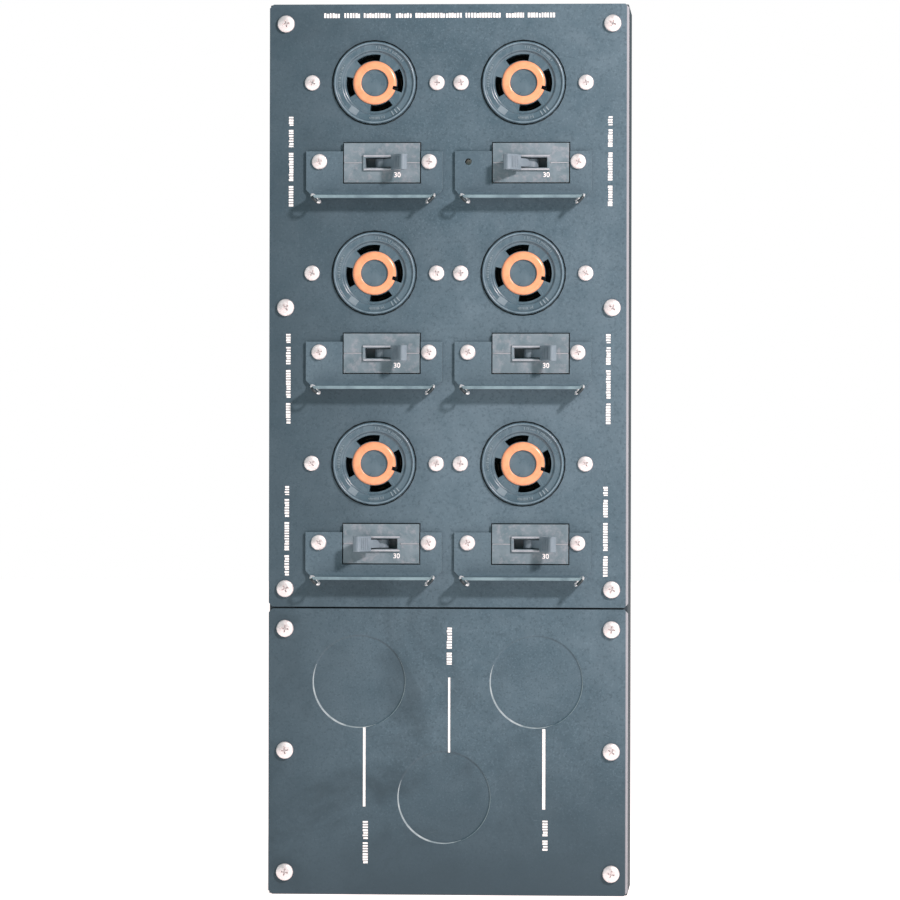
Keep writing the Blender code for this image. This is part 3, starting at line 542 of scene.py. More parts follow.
def piece(name, mesh, look, body="panel", place=Matrix.Identity(4), slot=None, angle=EDGE_ANGLE):
    """A new piece that rides on a body."""
    if not mesh.materials:
        mesh.materials.append(LOOKS[look])
    mesh.shade_smooth()
    mesh.set_sharp_from_angle(angle=math.radians(angle))
    obj = linked(name, mesh)
    obj.matrix_world = place
    level_faces(obj)
    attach(obj, body)
    return obj


def on_panel(x, z, out=0.0):
    """A device frame on the panel's front."""
    return shift(x, -DEPTH - out, z) @ FACING


def dress(name, look, bevel):
    """A CAD node that stays: its corners are welded, its edges rounded, and its material replaced."""
    obj = NODES[name]
    mesh = obj.data
    mesh.materials.clear()
    mesh.materials.append(LOOKS[look])
    if "custom_normal" in mesh.attributes:
        mesh.attributes.remove(mesh.attributes["custom_normal"])
    mesh.polygons.foreach_set("use_smooth", [True] * len(mesh.polygons))
    weld = obj.modifiers.new("Weld", "WELD")
    weld.merge_threshold = 0.002 * MM
    flatten = obj.modifiers.new("Flatten", "DECIMATE")
    flatten.decimate_type = "DISSOLVE"
    flatten.angle_limit = math.radians(0.4)
    soften = obj.modifiers.new("Soften", "BEVEL")
    soften.width = bevel
    soften.segments = 2
    soften.limit_method = "ANGLE"
    soften.angle_limit = SHARP_ANGLE
    soften.use_clamp_overlap = True
    sharp = obj.modifiers.new("Sharp", "NODES")
    sharp.node_group = sharp_by_angle()
    level_faces(obj)
    return obj


def level_faces(obj):
    """Large faces keep their own normal, so that only the rounded edges shade round."""
    level = obj.modifiers.new("Level", "WEIGHTED_NORMAL")
    level.mode = "FACE_AREA"
    level.keep_sharp = True


def sharp_by_angle():
    """A node group that shades smooth and marks the edges above SHARP_ANGLE as sharp."""
    name = "sharp_by_angle"
    if name in bpy.data.node_groups:
        return bpy.data.node_groups[name]
    group = bpy.data.node_groups.new(name, "GeometryNodeTree")
    group.interface.new_socket("Geometry", in_out="INPUT", socket_type="NodeSocketGeometry")
    group.interface.new_socket("Geometry", in_out="OUTPUT", socket_type="NodeSocketGeometry")
    start, end = group.nodes.new("NodeGroupInput"), group.nodes.new("NodeGroupOutput")
    faces = group.nodes.new("GeometryNodeSetShadeSmooth")
    faces.domain = "FACE"
    edges = group.nodes.new("GeometryNodeSetShadeSmooth")
    edges.domain = "EDGE"
    turn = group.nodes.new("GeometryNodeInputMeshEdgeAngle")
    below = group.nodes.new("FunctionNodeCompare")
    below.data_type = "FLOAT"
    below.operation = "LESS_THAN"
    below.inputs[1].default_value = SHARP_ANGLE
    group.links.new(turn.outputs["Unsigned Angle"], below.inputs[0])
    group.links.new(start.outputs[0], faces.inputs["Geometry"])
    group.links.new(faces.outputs[0], edges.inputs["Geometry"])
    group.links.new(below.outputs["Result"], edges.inputs["Shade Smooth"])
    group.links.new(edges.outputs[0], end.inputs[0])
    return group


# ---------------------------------------------------------------- screws


def dome(radius, height, flank, steps=7):
    """A pan head's profile, from its crown to its flank's top."""
    turns = [math.pi / 2.0 * i / steps for i in range(steps + 1)]
    return [(radius * math.sin(a), flank + (height - flank) * math.cos(a)) for a in turns]


def cross_recess(size, width, depth, top):
    """Cutters for a cross recess that narrows as it goes down."""
    outline = [(-size, -width), (size, -width), (size, width), (-size, width)]
    upper = [(x, y, top + 0.5 * MM) for x, y in outline]
    lower = [(0.45 * x, 0.7 * y, top - depth) for x, y in outline]
    return [moved(skinned([upper, lower]), Matrix.Rotation(turn, 4, "Z")) for turn in (0.0, math.pi / 2.0)]


def thread(radius, top, bottom, pitch=0.8 * MM):
    """A threaded shank's profile, from its top to its chamfered end on the axis."""
    turns = int((top - bottom) / pitch)
    profile = []
    for i in range(turns):
        height = top - i * pitch
        profile += [(radius, height), (radius, height - 0.3 * pitch),
                    (0.86 * radius, height - 0.65 * pitch)]
    end = top - turns * pitch
    return profile + [(radius, end), (0.75 * radius, bottom), (0.0, bottom)]


def screw_mesh(head, height, shank, length, recess):
    """A pan-head cross-recess screw whose head sits on z = 0."""
    flank = 0.42 * height
    profile = dome(head, height, flank) + [(head, 0.12 * height), (0.97 * head, 0.0), (shank, 0.0)]
    base = lathe(profile + thread(shank, -0.4 * MM, -length), 48)
    return carved(base, [joined(*cross_recess(recess, 0.17 * recess, 0.52 * height, height))])


SEEDED = random.Random(58)
PLATE_SCREW = screw_mesh(5.7 * MM, 3.5 * MM, 2.7 * MM, 9.0 * MM, 3.1 * MM)
DEVICE_SCREW = screw_mesh(5.1 * MM, 2.8 * MM, 1.9 * MM, 11.0 * MM, 2.7 * MM)


def screw(name, mesh, x, z, out=0.0):
    """A screw in the panel, turned to any angle, as screws stop where they stop."""
    spin = Matrix.Rotation(SEEDED.uniform(0.0, math.pi), 4, "Z")
    return piece(name, mesh, "screw", place=on_panel(x, z, out) @ spin, slot="zinc_screw", angle=40.0)


def add_screws():
    for letter, side in SIDES:
        for number, z in enumerate(PLATE_SCREW_ROWS, start=1):
            node = f"plate_screw_{letter}_{number}"
            obj = screw(node.replace("plate_screw", "plate_fixing"), PLATE_SCREW, side * PLATE_SCREW_X, z)
            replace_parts(obj, node)
    for number, (x, z) in GRID:
        for letter, side in SIDES:
            screw(f"receptacle_screw_{letter}_{number}", DEVICE_SCREW, x + side * RECEPTACLE_SCREW_X, z)
            if (number, letter) != (2, "left"):
                screw(f"bracket_screw_{letter}_{number}", DEVICE_SCREW, x + side * BRACKET_SCREW_X,
                      z - BREAKER_DROP, 2.3 * MM)


# ---------------------------------------------------------------- receptacles

SLOT_ARCS = ((78.0, 129.0), (167.0, 210.0), (260.0, 309.0), (-20.0, 30.0))
SLOT_INNER, SLOT_OUTER, HOOK_INNER = 14.8 * MM, 19.1 * MM, 12.4 * MM
BAND_RADIUS, BAND_HEIGHT = 23.6 * MM, 0.9
WIRE_ENTRIES = [(x, y) for x in (-13.0, 13.0) for y in (-18.0, 18.0)]


def slot_tools(bottom, top):
    """Cutters for the four contact slots, the last one with its hook towards the centre."""
    tools = [prism(arc_band(SLOT_INNER, SLOT_OUTER, a, b), bottom, top) for a, b in SLOT_ARCS]
    hook = prism(arc_band(HOOK_INNER, SLOT_INNER + 0.5 * MM, -20.0, -9.0, 5), bottom, top)
    tools[-1] = joined(tools[-1], hook)
    return tools


def receptacle_mesh():
    """The moulded body: rim, lettering band, recessed insert and contact slots, down to its back."""
    insert, band, proud, back = -0.9, BAND_HEIGHT, 2.5, -38.0
    profile = [
        (0.0, insert), (19.9, insert), (20.35, insert + 0.10), (20.75, insert + 0.45),
        (21.25, band - 0.45), (21.65, band - 0.10), (22.1, band), (24.9, band), (25.2, band + 0.12),
        (25.5, band + 0.55), (25.8, proud - 0.45), (26.15, proud - 0.12), (26.5, proud),
        (26.85, proud - 0.12), (27.15, proud - 0.45), (27.4, proud - 1.0), (27.6, 0.4), (27.7, -2.1),
        (27.8, -2.3), (27.0, -2.3), (27.0, -20.0), (26.8, -20.3), (26.8, -37.2), (26.0, back), (0.0, back),
    ]
    body = carved(turned(profile, 120), slot_tools(-17.0 * MM, 3.0 * MM))
    holes = [moved(peg(3.6, 1.0, -2.5, 24), shift(x * MM, y * MM, back * MM))
             for x, y in WIRE_ENTRIES]
    return softened(carved(body, holes), 0.18 * MM, 2, 50.0)


def bar(angle, length, width, height):
    """A low moulded bar on the lettering band, along the radius."""
    mesh = rounded_block((-length / 2, -width / 2, -0.15 * MM), (length / 2, width / 2, height),
                         min(width, length, height) * 0.30, 2)
    place = about("Z", angle)
    return moved(mesh, place @ shift(BAND_RADIUS, 0.0, BAND_HEIGHT * MM))


def band_marks():
    """Raised plain pips where the real moulding has its markings, in a lighter look that paints a
    highlight on them: none of them is a letter.
    """
    generator = random.Random(21)
    marks = []
    for start, end in ((38.0, 88.0), (150.0, 192.0), (262.0, 286.0)):
        angle = start
        while angle < end:
            length = generator.choice((1.1, 1.7, 1.7, 2.0)) * MM
            marks.append(bar(angle, length, 0.45 * MM, 0.45 * MM))
            angle += generator.choice((2.1, 2.1, 2.4, 4.2))
    marks += [bar(angle, 3.2 * MM, 0.80 * MM, 0.60 * MM) for angle in (300.5, 306.5, 312.5)]
    return merged(*marks)


def receptacle_gap_shade_mesh():
    """A near-black ring behind the panel that closes the gap round the body: painted shade in the gap."""
    return turned([(27.1, -2.1), (30.6, -2.1), (30.8, -2.2), (30.8, -2.45), (30.6, -2.55), (27.1, -2.55)])


def insert_ring_mesh():
    """The orange ring, with a notch where the hooked slot meets it."""
    profile = [
        (9.0, -0.6), (9.0, 0.1), (9.12, 0.40), (9.4, 0.62), (9.9, 0.72), (12.4, 0.72), (13.0, 0.64),
        (13.55, 0.44), (14.0, 0.14), (14.35, -0.24), (14.5, -0.6),
    ]
    ring = carved(turned(profile, 96), [slot_tools(-3.0 * MM, 3.0 * MM)[-1]])
    return softened(ring, 0.15 * MM, 2, 50.0)


def pad_mesh():
    """A blank raised pad on the lettering band."""
    pad = block((-2.5, -3.1, -0.1), (2.0, 3.1, 0.12), 0.08, 2)
    place = about("Z", 233.0)
    return moved(pad, place @ shift(23.5 * MM, 0.0, BAND_HEIGHT * MM))


def contact_meshes():
    """The near-black floors of the four slots, and the brass blade in each: painted shade deep in the
    slots.
    """
    inner, outer, floor = SLOT_INNER + 0.05 * MM, SLOT_OUTER - 0.05 * MM, -16.2
    throats = [prism(arc_band(inner, outer, a + 0.3, b - 0.3), -16.8 * MM, floor * MM)
               for a, b in SLOT_ARCS]
    blades = [
        moved(block((16.5, -2.6, floor), (17.4, 2.6, -11.5), 0.2, 2),
              about("Z", (a + b) / 2.0))
        for a, b in SLOT_ARCS
    ]
    return merged(*throats), merged(*blades)


def clamp_mesh():
    """The four screws that clamp the wires, at the body's back."""
    clamp = screw_mesh(3.2 * MM, 1.8 * MM, 1.6 * MM, 5.0 * MM, 2.0 * MM)
    turn = about("X", 180.0)
    return merged(*[moved(clamp.copy(), turn, shift(x * MM, y * MM, -36.2 * MM))
                    for x, y in WIRE_ENTRIES])


def add_receptacles():
    throats, contacts = contact_meshes()
    layers = (
        ("face", receptacle_mesh(), "receptacle", "receptacle_nylon", 45.0),
        ("marks", band_marks(), "relief_highlight", "receptacle_nylon", EDGE_ANGLE),
        ("pad", pad_mesh(), "label", "receptacle_nylon", EDGE_ANGLE),
        ("shade_rubber", receptacle_gap_shade_mesh(), "shade_rubber", "loom_sleeve", EDGE_ANGLE),
        ("insert", insert_ring_mesh(), "orange", "orange_insert", 45.0),
        ("throats", throats, "slot_shade", "terminal_plastic", EDGE_ANGLE),
        ("contacts", contacts, "shaded_contact", "brass_bar", EDGE_ANGLE),
        ("clamps", clamp_mesh(), "brass", "brass_bar", 40.0),
    )
    for number, (x, z) in GRID:
        place, made = on_panel(x, z), {}
        for name, mesh, look, slot, angle in layers:
            made[name] = piece(f"receptacle_{name}_{number}", mesh, look, place=place, slot=slot,
                               angle=angle)
        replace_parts(made["face"], f"receptacle_body_{number}")
        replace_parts(made["insert"], f"receptacle_ring_{number}")
        dress(f"receptacle_strap_{number}", "strap", 0.25 * MM)


# ---------------------------------------------------------------- breakers


def round_bar(radius, half, chamfer, steps):
    """A chamfered cylinder along y, in millimetres."""
    near, end = radius - chamfer, half - chamfer
    profile = [(0.0, half), (near, half), (radius, end), (radius, -end), (near, -half), (0.0, -half)]
    return moved(turned(profile, steps), FACING)


def handle_mesh():
    """The handle at mid-throw about its pivot: barrel, pin, stem, and a paddle with grip ribs."""
    barrel, pin = round_bar(5.0, 2.9, 0.3, 40), round_bar(1.6, 4.8, 0.2, 24)
    stem = block((-2.2, -2.8, 0.0), (2.2, 2.8, 15.0), 0.35, 2)
    start, end, half = 13.8 * MM, 28.5 * MM, 2.3 * MM
    side = [(half - 0.4 * MM, start), (half, start + 0.4 * MM), (half + 0.45 * MM, end - 1.9 * MM),
            (half - 0.1 * MM, end - 0.55 * MM), (half - 1.1 * MM, end)]
    outline = side + [(-x, y) for x, y in reversed(side)]
    paddle = softened(moved(prism(outline, -5.1 * MM, 5.1 * MM), FACING), 0.5 * MM, 3, 25.0)
    grooves = [block((x - 0.35, -3.9, z), (x + 0.35, 3.9, z + 0.7), 0.2, 1)
               for x in (-2.45, 2.45) for z in (18.2, 20.2, 22.2, 24.2)]
    return joined(joined(barrel, pin), joined(stem, carved(paddle, grooves)))


def rating_mesh():
    """The breaker's rating, a plain number, as thin ink."""
    curve = bpy.data.curves.new("rating", "FONT")
    curve.body = "30"
    curve.size = 4.6 * MM
    curve.extrude = 0.03 * MM
    curve.offset = 0.06 * MM
    curve.align_x = "CENTER"
    curve.align_y = "CENTER"
    return moved(baked(curve), shift(15.4 * MM, -8.9 * MM, 2.74 * MM))


# The part of a loop's turn, in degrees, that its dark sleeve of painted shade covers
SHADE_SLEEVE = (52.5, 127.5)


def loop_mesh(side):
    """A steel loop near one end of the guard's lip, and a dark sleeve on its outer arc that paints shade
    on the loop's middle.
    """
    radius, wire, tilt = 3.7 * MM, 0.75 * MM, math.radians(17.0)
    across = Vector((side, 1.0, 0.0)).normalized()
    aside = Vector((side, -1.0, 0.0)).normalized()
    up = math.cos(tilt) * Vector((0.0, 0.0, 1.0)) + math.sin(tilt) * aside
    centre = Vector((side * 38.2 * MM, -25.0 * MM, 14.0 * MM))
    turns = [2.0 * math.pi * i / 48 for i in range(48)]
    points = [centre + radius * (math.cos(t) * across + math.sin(t) * up) for t in turns]
    start, end = round(len(turns) * SHADE_SLEEVE[0] / 360.0), round(len(turns) * SHADE_SLEEVE[1] / 360.0)
    return swept(points, wire, 12, cyclic=True), swept(points[start:end + 1], wire + 0.22 * MM, 14)


def collar_mesh():
    """The raised guides above and below the handle's slot, pale as painted highlights on the collar's
    edges.
    """
    half, thick, out = 12.3 * MM, 0.62 * MM, 4.5 * MM
    return merged(*[
        rounded_block((CASE_X - half, CASE_Y + s * out - thick, 3.4 * MM),
                      (CASE_X + half, CASE_Y + s * out + thick, 4.35 * MM), 0.28 * MM, 3)
        for s in (-1.0, 1.0)
    ])


def parting_mesh():
    """The pale lips of the case's two halves, seen in the groove at each side of the handle: pale as
    painted highlights.
    """
    inner, outer, half = 13.0 * MM, 25.2 * MM, 0.27 * MM
    strips = []
    for side in (-1.0, 1.0):
        near, far = sorted((CASE_X + side * inner, CASE_X + side * outer))
        strips.append(rounded_block((near, CASE_Y - half, 1.95 * MM), (far, CASE_Y + half, 2.82 * MM),
                                    0.12 * MM, 2))
    return merged(*strips)


def breaker_gap_shade_mesh():
    """A thin near-black frame behind the panel that closes the gap round the case: painted shade in the
    gap.
    """
    def sheet(wide, high, bottom, top, radius):
        low, far = (CASE_X - wide * MM, CASE_Y - high * MM), (CASE_X + wide * MM, CASE_Y + high * MM)
        return rounded_block((*low, bottom * MM), (*far, top * MM), radius * MM, 1)

    return carved(sheet(28.6, 16.4, -2.27, -2.08, 0.05), [sheet(25.45, 13.2, -4.0, 0.0, 0.05)])


def blind_nut_mesh():
    """The closed steel nut behind each end of a breaker's ear."""
    return turned([
        (0.0, -12.5), (2.1, -12.5), (2.1, -5.6), (2.3, -5.35), (4.3, -5.35), (4.5, -5.5), (4.5, -6.0),
        (4.3, -6.15), (3.4, -6.2), (3.4, -13.4), (2.9, -14.0), (0.0, -14.0),
    ], 28)


def lug_screw_mesh():
    """The four terminal screws on a breaker's lugs."""
    one = screw_mesh(2.9 * MM, 1.7 * MM, 1.4 * MM, 4.0 * MM, 1.8 * MM)
    turn = about("X", 180.0)
    places = [(CASE_X + sx * 17.0 * MM, CASE_Y + sy * 6.6 * MM, -62.0 * MM)
              for sx in (-1.0, 1.0) for sy in (-1.0, 1.0)]
    return merged(*[moved(one.copy(), turn, Matrix.Translation(place)) for place in places])


def add_breakers():
    handle, pivot = handle_mesh(), shift(CASE_X, CASE_Y, -5.3 * MM)
    loops, blind_nut = {side: loop_mesh(side) for side in (-1.0, 1.0)}, blind_nut_mesh()
    layers = (
        ("rating", rating_mesh(), "ink", None, EDGE_ANGLE),
        ("guides", collar_mesh(), "highlight_guide", "breaker_plastic", EDGE_ANGLE),
        ("parting", parting_mesh(), "highlight_guide", "breaker_plastic", EDGE_ANGLE),
        ("shade_rubber", breaker_gap_shade_mesh(), "shade_rubber", "loom_sleeve", EDGE_ANGLE),
        ("lug_screws", lug_screw_mesh(), "brass", "brass_bar", 40.0),
    )
    for (number, (x, z)), to_the_right in zip(GRID, HANDLES_TO_THE_RIGHT):
        place = on_panel(x, z - BREAKER_DROP)
        dress(f"breaker_case_{number}", "breaker", 0.22 * MM)
        dress(f"breaker_bracket_{number}", "bracket", 0.40 * MM)
        throw = about("Y", 35.0 if to_the_right else -35.0)
        lever = piece(f"handle_lever_{number}", handle, "handle", f"handle_{number}",
                      place @ pivot @ throw, "handle_plastic", 40.0)
        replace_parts(lever, f"breaker_handle_{number}")
        for name, mesh, look, slot, angle in layers:
            piece(f"breaker_{name}_{number}", mesh, look, place=place, slot=slot, angle=angle)
        for letter, side in SIDES:
            loop, shade_sleeve = loops[side]
            ends = {"place": place, "angle": 60.0}
            piece(f"lip_loop_{letter}_{number}", loop, "loop", slot="zinc_screw", **ends)
            piece(f"loop_shade_sleeve_{letter}_{number}", shade_sleeve, "shade_rubber", slot="loom_sleeve", **ends)
            behind = place @ shift(side * BRACKET_SCREW_X, 0.0, 0.0)
            piece(f"blind_nut_{letter}_{number}", blind_nut, "strap", place=behind, slot="plated_steel")


# ---------------------------------------------------------------- printed marks


def stroke(x0, z0, x1, z1):
    """A thin printed block between two corners on the panel's front."""
    low = (min(x0, x1), min(z0, z1), 0.004 * MM)
    return rounded_block(low, (max(x0, x1), max(z0, z1), 0.05 * MM), 0.012 * MM, 1)


def legend(start, words, height, pitch, upright, generator):
    """Rows of plain blocks that stand for words: each block is a solid bar, and none is a letter."""
    strokes = []
    along = 0.0
    x, z = start
    for length, gap in words:
        end = along + length
        while along < end - 0.4 * pitch:
            width = min(pitch * generator.choice((0.62, 0.74, 0.80)), end - along)
            drop = generator.choice((0.0, 0.0, 0.12)) * height
            if upright:
                strokes.append(stroke(x - height / 2 + drop, z - along, x + height / 2, z - along - width))
            else:
                strokes.append(stroke(x + along, z - height / 2, x + along + width, z + height / 2 - drop))
            along += pitch
        along = end + gap
    return strokes


# Millimetres on the panel: a rule's middle, top, foot and width; a name's middle, top and word lengths
TOP_WORDS = (11.0, 10.5, 19.0, 10.5, 31.0, 24.5, 12.0, 19.0)
SIDE_WORDS = (6.0, 12.7, 19.4, 14.7)
LEGEND_X = {"left": (-105.6, -107.2, -108.0), "right": (107.5, 106.5, 104.8)}
LEGEND_Z = (222.0, 77.0, -24.6)
RULES = {
    "left": (-55.8, -185.5, -238.3, 1.7), "middle": (0.9, -152.0, -202.0, 1.4),
    "right": (64.1, -186.0, -239.6, 2.0),
}
NAMES = {
    "middle": (0.9, -118.7, (14.5, 8.0)), "left": (-55.0, -248.0, (12.0, 14.2)),
    "right": (65.0, -247.0, (11.0, 7.6)),
}


def add_printing():
    generator = random.Random(7)
    front = on_panel(0.0, 0.0)
    words = [(word * MM, 2.5 * MM) for word in TOP_WORDS]
    top = legend((-83.6 * MM, 289.5 * MM), words, 3.2 * MM, 1.85 * MM, False, generator)
    piece("printed_line_top", merged(*top), "ink", place=front)
    words = [(word * MM, 2.7 * MM) for word in SIDE_WORDS]
    for letter, xs in LEGEND_X.items():
        for number, (x, z) in enumerate(zip(xs, LEGEND_Z), start=1):
            marks = legend((x * MM, z * MM), words, 3.0 * MM, 1.75 * MM, True, generator)
            piece(f"printed_legend_{letter}_{number}", merged(*marks), "ink", place=front)
    for letter, (x, high, low, width) in RULES.items():
        line = stroke((x - width / 2) * MM, high * MM, (x + width / 2) * MM, low * MM)
        piece(f"printed_rule_{letter}", line, "ink", place=front)
    for letter, (x, high, lengths) in NAMES.items():
        words = [(word * MM, 2.2 * MM) for word in lengths]
        marks = legend((x * MM, high * MM), words, 3.4 * MM, 1.8 * MM, True, generator)
        piece(f"printed_name_{letter}", merged(*marks), "ink", place=front)


# ---------------------------------------------------------------- lower sheet

KNOCKOUTS = ((-59.5 * MM, -154.9 * MM), (58.8 * MM, -154.9 * MM), (-2.6 * MM, -232.0 * MM))
# The pressed disc's radius, its wall's outer radius and its depth, in millimetres
PRESSED = (30.0, 31.2, 1.0)


def lower_plate_mesh():
    """The entry sheet: clipped corners, six holes, and three knock-outs pressed in with a sloping wall."""
    half, low, high, clip = 120.0 * MM, -297.0 * MM, -106.3 * MM, 2.6 * MM
    outline = [
        (clip - half, low), (half - clip, low), (half, low + clip), (half, high - clip),
        (half - clip, high), (clip - half, high), (-half, high - clip), (-half, low + clip),
    ]
    inner, outer, depth = PRESSED
    lip = outer + (outer - inner) / depth
    press = turned([(0.0, 1.0), (lip, 1.0), (outer, 0.0), (inner, -depth), (0.0, -depth)], 96)
    hole = peg(3.3, 1.0, -4.0, 28)
    holes = [(side * PLATE_SCREW_X, z) for side in (-1.0, 1.0) for z in PLATE_SCREW_ROWS[3:]]
    tools = [moved(press.copy(), shift(*place, 0.0)) for place in KNOCKOUTS]
    tools += [moved(hole.copy(), shift(*place, 0.0)) for place in holes]
    return softened(carved(prism(outline, -2.0 * MM, 0.0), tools), 0.16 * MM, 2)


def crescent_mesh(start, end, low, high, steps=48):
    """A painted highlight on a knock-out's wall, between two angles and two shares of its width."""
    inner, outer, depth = PRESSED
    thin = 0.03
    sections = []
    for i in range(steps + 1):
        angle = math.radians(start + (end - start) * i / steps)
        half = (high - low) / 2.0 * max(0.06, math.sin(math.pi * i / steps)) ** 0.6
        near, far = (low + high) / 2.0 - half, (low + high) / 2.0 + half
        section = []
        for share, lift in ((near, thin), (far, thin), (far, -thin), (near, -thin)):
            radius = (inner + (outer - inner) * share) * MM
            height = (depth * (share - 1.0) + lift) * MM
            section.append((radius * math.cos(angle), radius * math.sin(angle), height))
        sections.append(section)
    return skinned(sections)


def add_lower_plate():
    # Painted highlights on the knock-outs' walls: bright at the lower left, fainter at the lower right.
    wear_and_highlight, faint = crescent_mesh(158.0, 292.0, 0.05, 0.95), crescent_mesh(292.0, 392.0, 0.70, 1.0)
    for number, (x, z) in enumerate(KNOCKOUTS, start=1):
        place = on_panel(x, z)
        piece(f"knockout_rub_{number}", wear_and_highlight, "wear_and_highlight", place=place, slot="plate_paint")
        piece(f"knockout_rub_faint_{number}", faint, "faint_painted_highlight", place=place, slot="plate_paint")
    mesh = moved(lower_plate_mesh(), on_panel(0.0, 0.0))
    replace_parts(piece("entry_plate", mesh, "plate", slot="plate_paint"), "lower_plate")


# ---------------------------------------------------------------- behind the panel


def nut_mesh():
    """A hexagonal clinch nut with its collar, open for the screw."""
    corner = 4.3 * MM / math.cos(math.pi / 6.0)
    outline = [(corner * math.cos(math.pi / 3.0 * i), corner * math.sin(math.pi / 3.0 * i))
               for i in range(6)]
    body = softened(prism(outline, -3.8 * MM, -0.5 * MM), 0.35 * MM, 2)
    collar = turned([(0.0, 0.0), (4.9, 0.0), (5.1, -0.2), (5.1, -0.8), (0.0, -0.8)], 36)
    return carved(joined(body, collar), [peg(2.75, 1.0, -5.0, 36)])


def add_nuts():
    nut = nut_mesh()
    for letter, side in SIDES:
        for number, z in enumerate(PLATE_SCREW_ROWS, start=1):
            place = on_panel(side * PLATE_SCREW_X, z, -3.85 * MM)
            piece(f"clinch_nut_{letter}_{number}", nut, "strap", place=place, slot="zinc_screw")


def wire_bundle(path, radius, looks, name, turns, lead_out):
    """Wires twisted round a path, then led out to their own ends if these are given."""
    last = len(path) - 1
    for i, look in enumerate(looks):
        points = []
        for step, point in enumerate(path):
            tangent = (path[min(step + 1, last)] - path[max(step - 1, 0)]).normalized()
            across = tangent.cross(Vector((0.0, 0.0, 1.0)))
            if across.length < 0.2:
                across = tangent.cross(Vector((1.0, 0.0, 0.0)))
            across.normalize()
            up = across.cross(tangent)
            phase = 2.0 * math.pi * (i / len(looks) + turns * (step / last))
            points.append(point + BUNDLE_SPREAD * (math.cos(phase) * across + math.sin(phase) * up))
        if lead_out:
            guides = points[:: max(1, len(points) // 12)]
            points = smooth_path(guides + [Vector(end) for end in lead_out[i]], 4)
        piece(f"{name}_{i + 1}", swept(points, radius, 10), look, slot="loom_sleeve", angle=60.0)


def tie_mesh(radius):
    """A cable tie round a bundle of that radius in millimetres, with its head."""
    outer = radius + 0.9
    band = turned([(radius, -1.2), (radius, 1.2), (outer, 1.0), (outer, -1.0)], 40)
    return joined(band, block((radius - 0.2, -2.2, -1.9), (radius + 3.0, 2.2, 1.9), 0.5, 2))


TRUNK_Y = -40.0 * MM
TRUNK_TOP, TRUNK_BOTTOM = ROWS[0] + 12.0 * MM, -174.0 * MM
TIE_HEIGHTS = (228.0, 160.0, 92.0, 36.0, -34.0, -96.0, -150.0)
RECEPTACLE_BACK, CASE_BACK = -50.0 * MM, -32.0 * MM
BUNDLE_SPREAD = 1.75 * MM


def add_trunk():
    """Nineteen wires laid in two rings round one, slowly twisting, and the ties that hold them."""
    looks = ("black_wire", "red_wire", "white_wire", "green_wire")
    generator = random.Random(3)
    spots = [(0.0, 0.0)] + [(2.9 * MM, 60.0 * i) for i in range(6)]
    spots += [(5.7 * MM, 30.0 * i) for i in range(12)]
    for i, (radius, degrees) in enumerate(spots):
        points = []
        for step in range(31):
            share = step / 30.0
            angle = math.radians(degrees) + 0.9 * share + 0.05 * math.sin(9.0 * share + i)
            wobble = radius * (1.0 + 0.03 * math.sin(14.0 * share + 2.0 * i))
            height = TRUNK_BOTTOM + (TRUNK_TOP - TRUNK_BOTTOM) * share
            points.append((wobble * math.cos(angle), TRUNK_Y + wobble * math.sin(angle), height))
        wire = piece(f"trunk_wire_{i + 1}", swept(points, 1.42 * MM, 8), looks[generator.randrange(4)],
                     slot="loom_sleeve", angle=60.0)
        if i == 0:
            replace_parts(wire, "wiring_loom")
    tie = tie_mesh(7.2)
    for number, z in enumerate(TIE_HEIGHTS, start=1):
        place = shift(0.0, TRUNK_Y, z * MM) @ about("Z", 70.0)
        piece(f"cable_tie_{number}", tie, "tie", place=place, slot="loom_sleeve")


def add_branches():
    """Three wires from the trunk to each outlet, and four to each breaker's lugs."""
    for number, (x, z) in GRID:
        side = math.copysign(1.0, x)
        entry = x - side * 13.0 * MM
        path = smooth_path([
            (0.0, TRUNK_Y, z + 2.0 * MM),
            (side * 14.0 * MM, TRUNK_Y + 2.0 * MM, z + 14.0 * MM),
            (entry - side * 6.0 * MM, RECEPTACLE_BACK + 13.5 * MM, z + 18.0 * MM),
            (entry, RECEPTACLE_BACK + 1.6 * MM, z + 18.0 * MM),
        ], 10)
        looks = ("black_wire", "white_wire", "green_wire")
        wire_bundle(path, 1.45 * MM, looks, f"receptacle_wire_{number}", 0.8, None)
        case_x, case_z = x + CASE_X, z - BREAKER_DROP + CASE_Y
        path = smooth_path([
            (0.0, TRUNK_Y, case_z + 26.0 * MM),
            (side * 13.0 * MM, TRUNK_Y + 12.0 * MM, case_z + 18.0 * MM),
            (case_x - side * 14.0 * MM, CASE_BACK + 14.0 * MM, case_z + 2.0 * MM),
        ], 10)
        ends = [
            [(case_x + sx * 10.0 * MM, CASE_BACK + 9.0 * MM, case_z + sy * 4.0 * MM),
             (case_x + sx * 15.5 * MM, CASE_BACK + 7.6 * MM, case_z + sy * 7.4 * MM)]
            for sx, sy in ((-side, 1.0), (-side, -1.0), (side, 1.0), (side, -1.0))
        ]
        wire_bundle(path, 1.25 * MM, ("black_wire", "red_wire") * 2, f"breaker_wire_{number}", 0.5, ends)


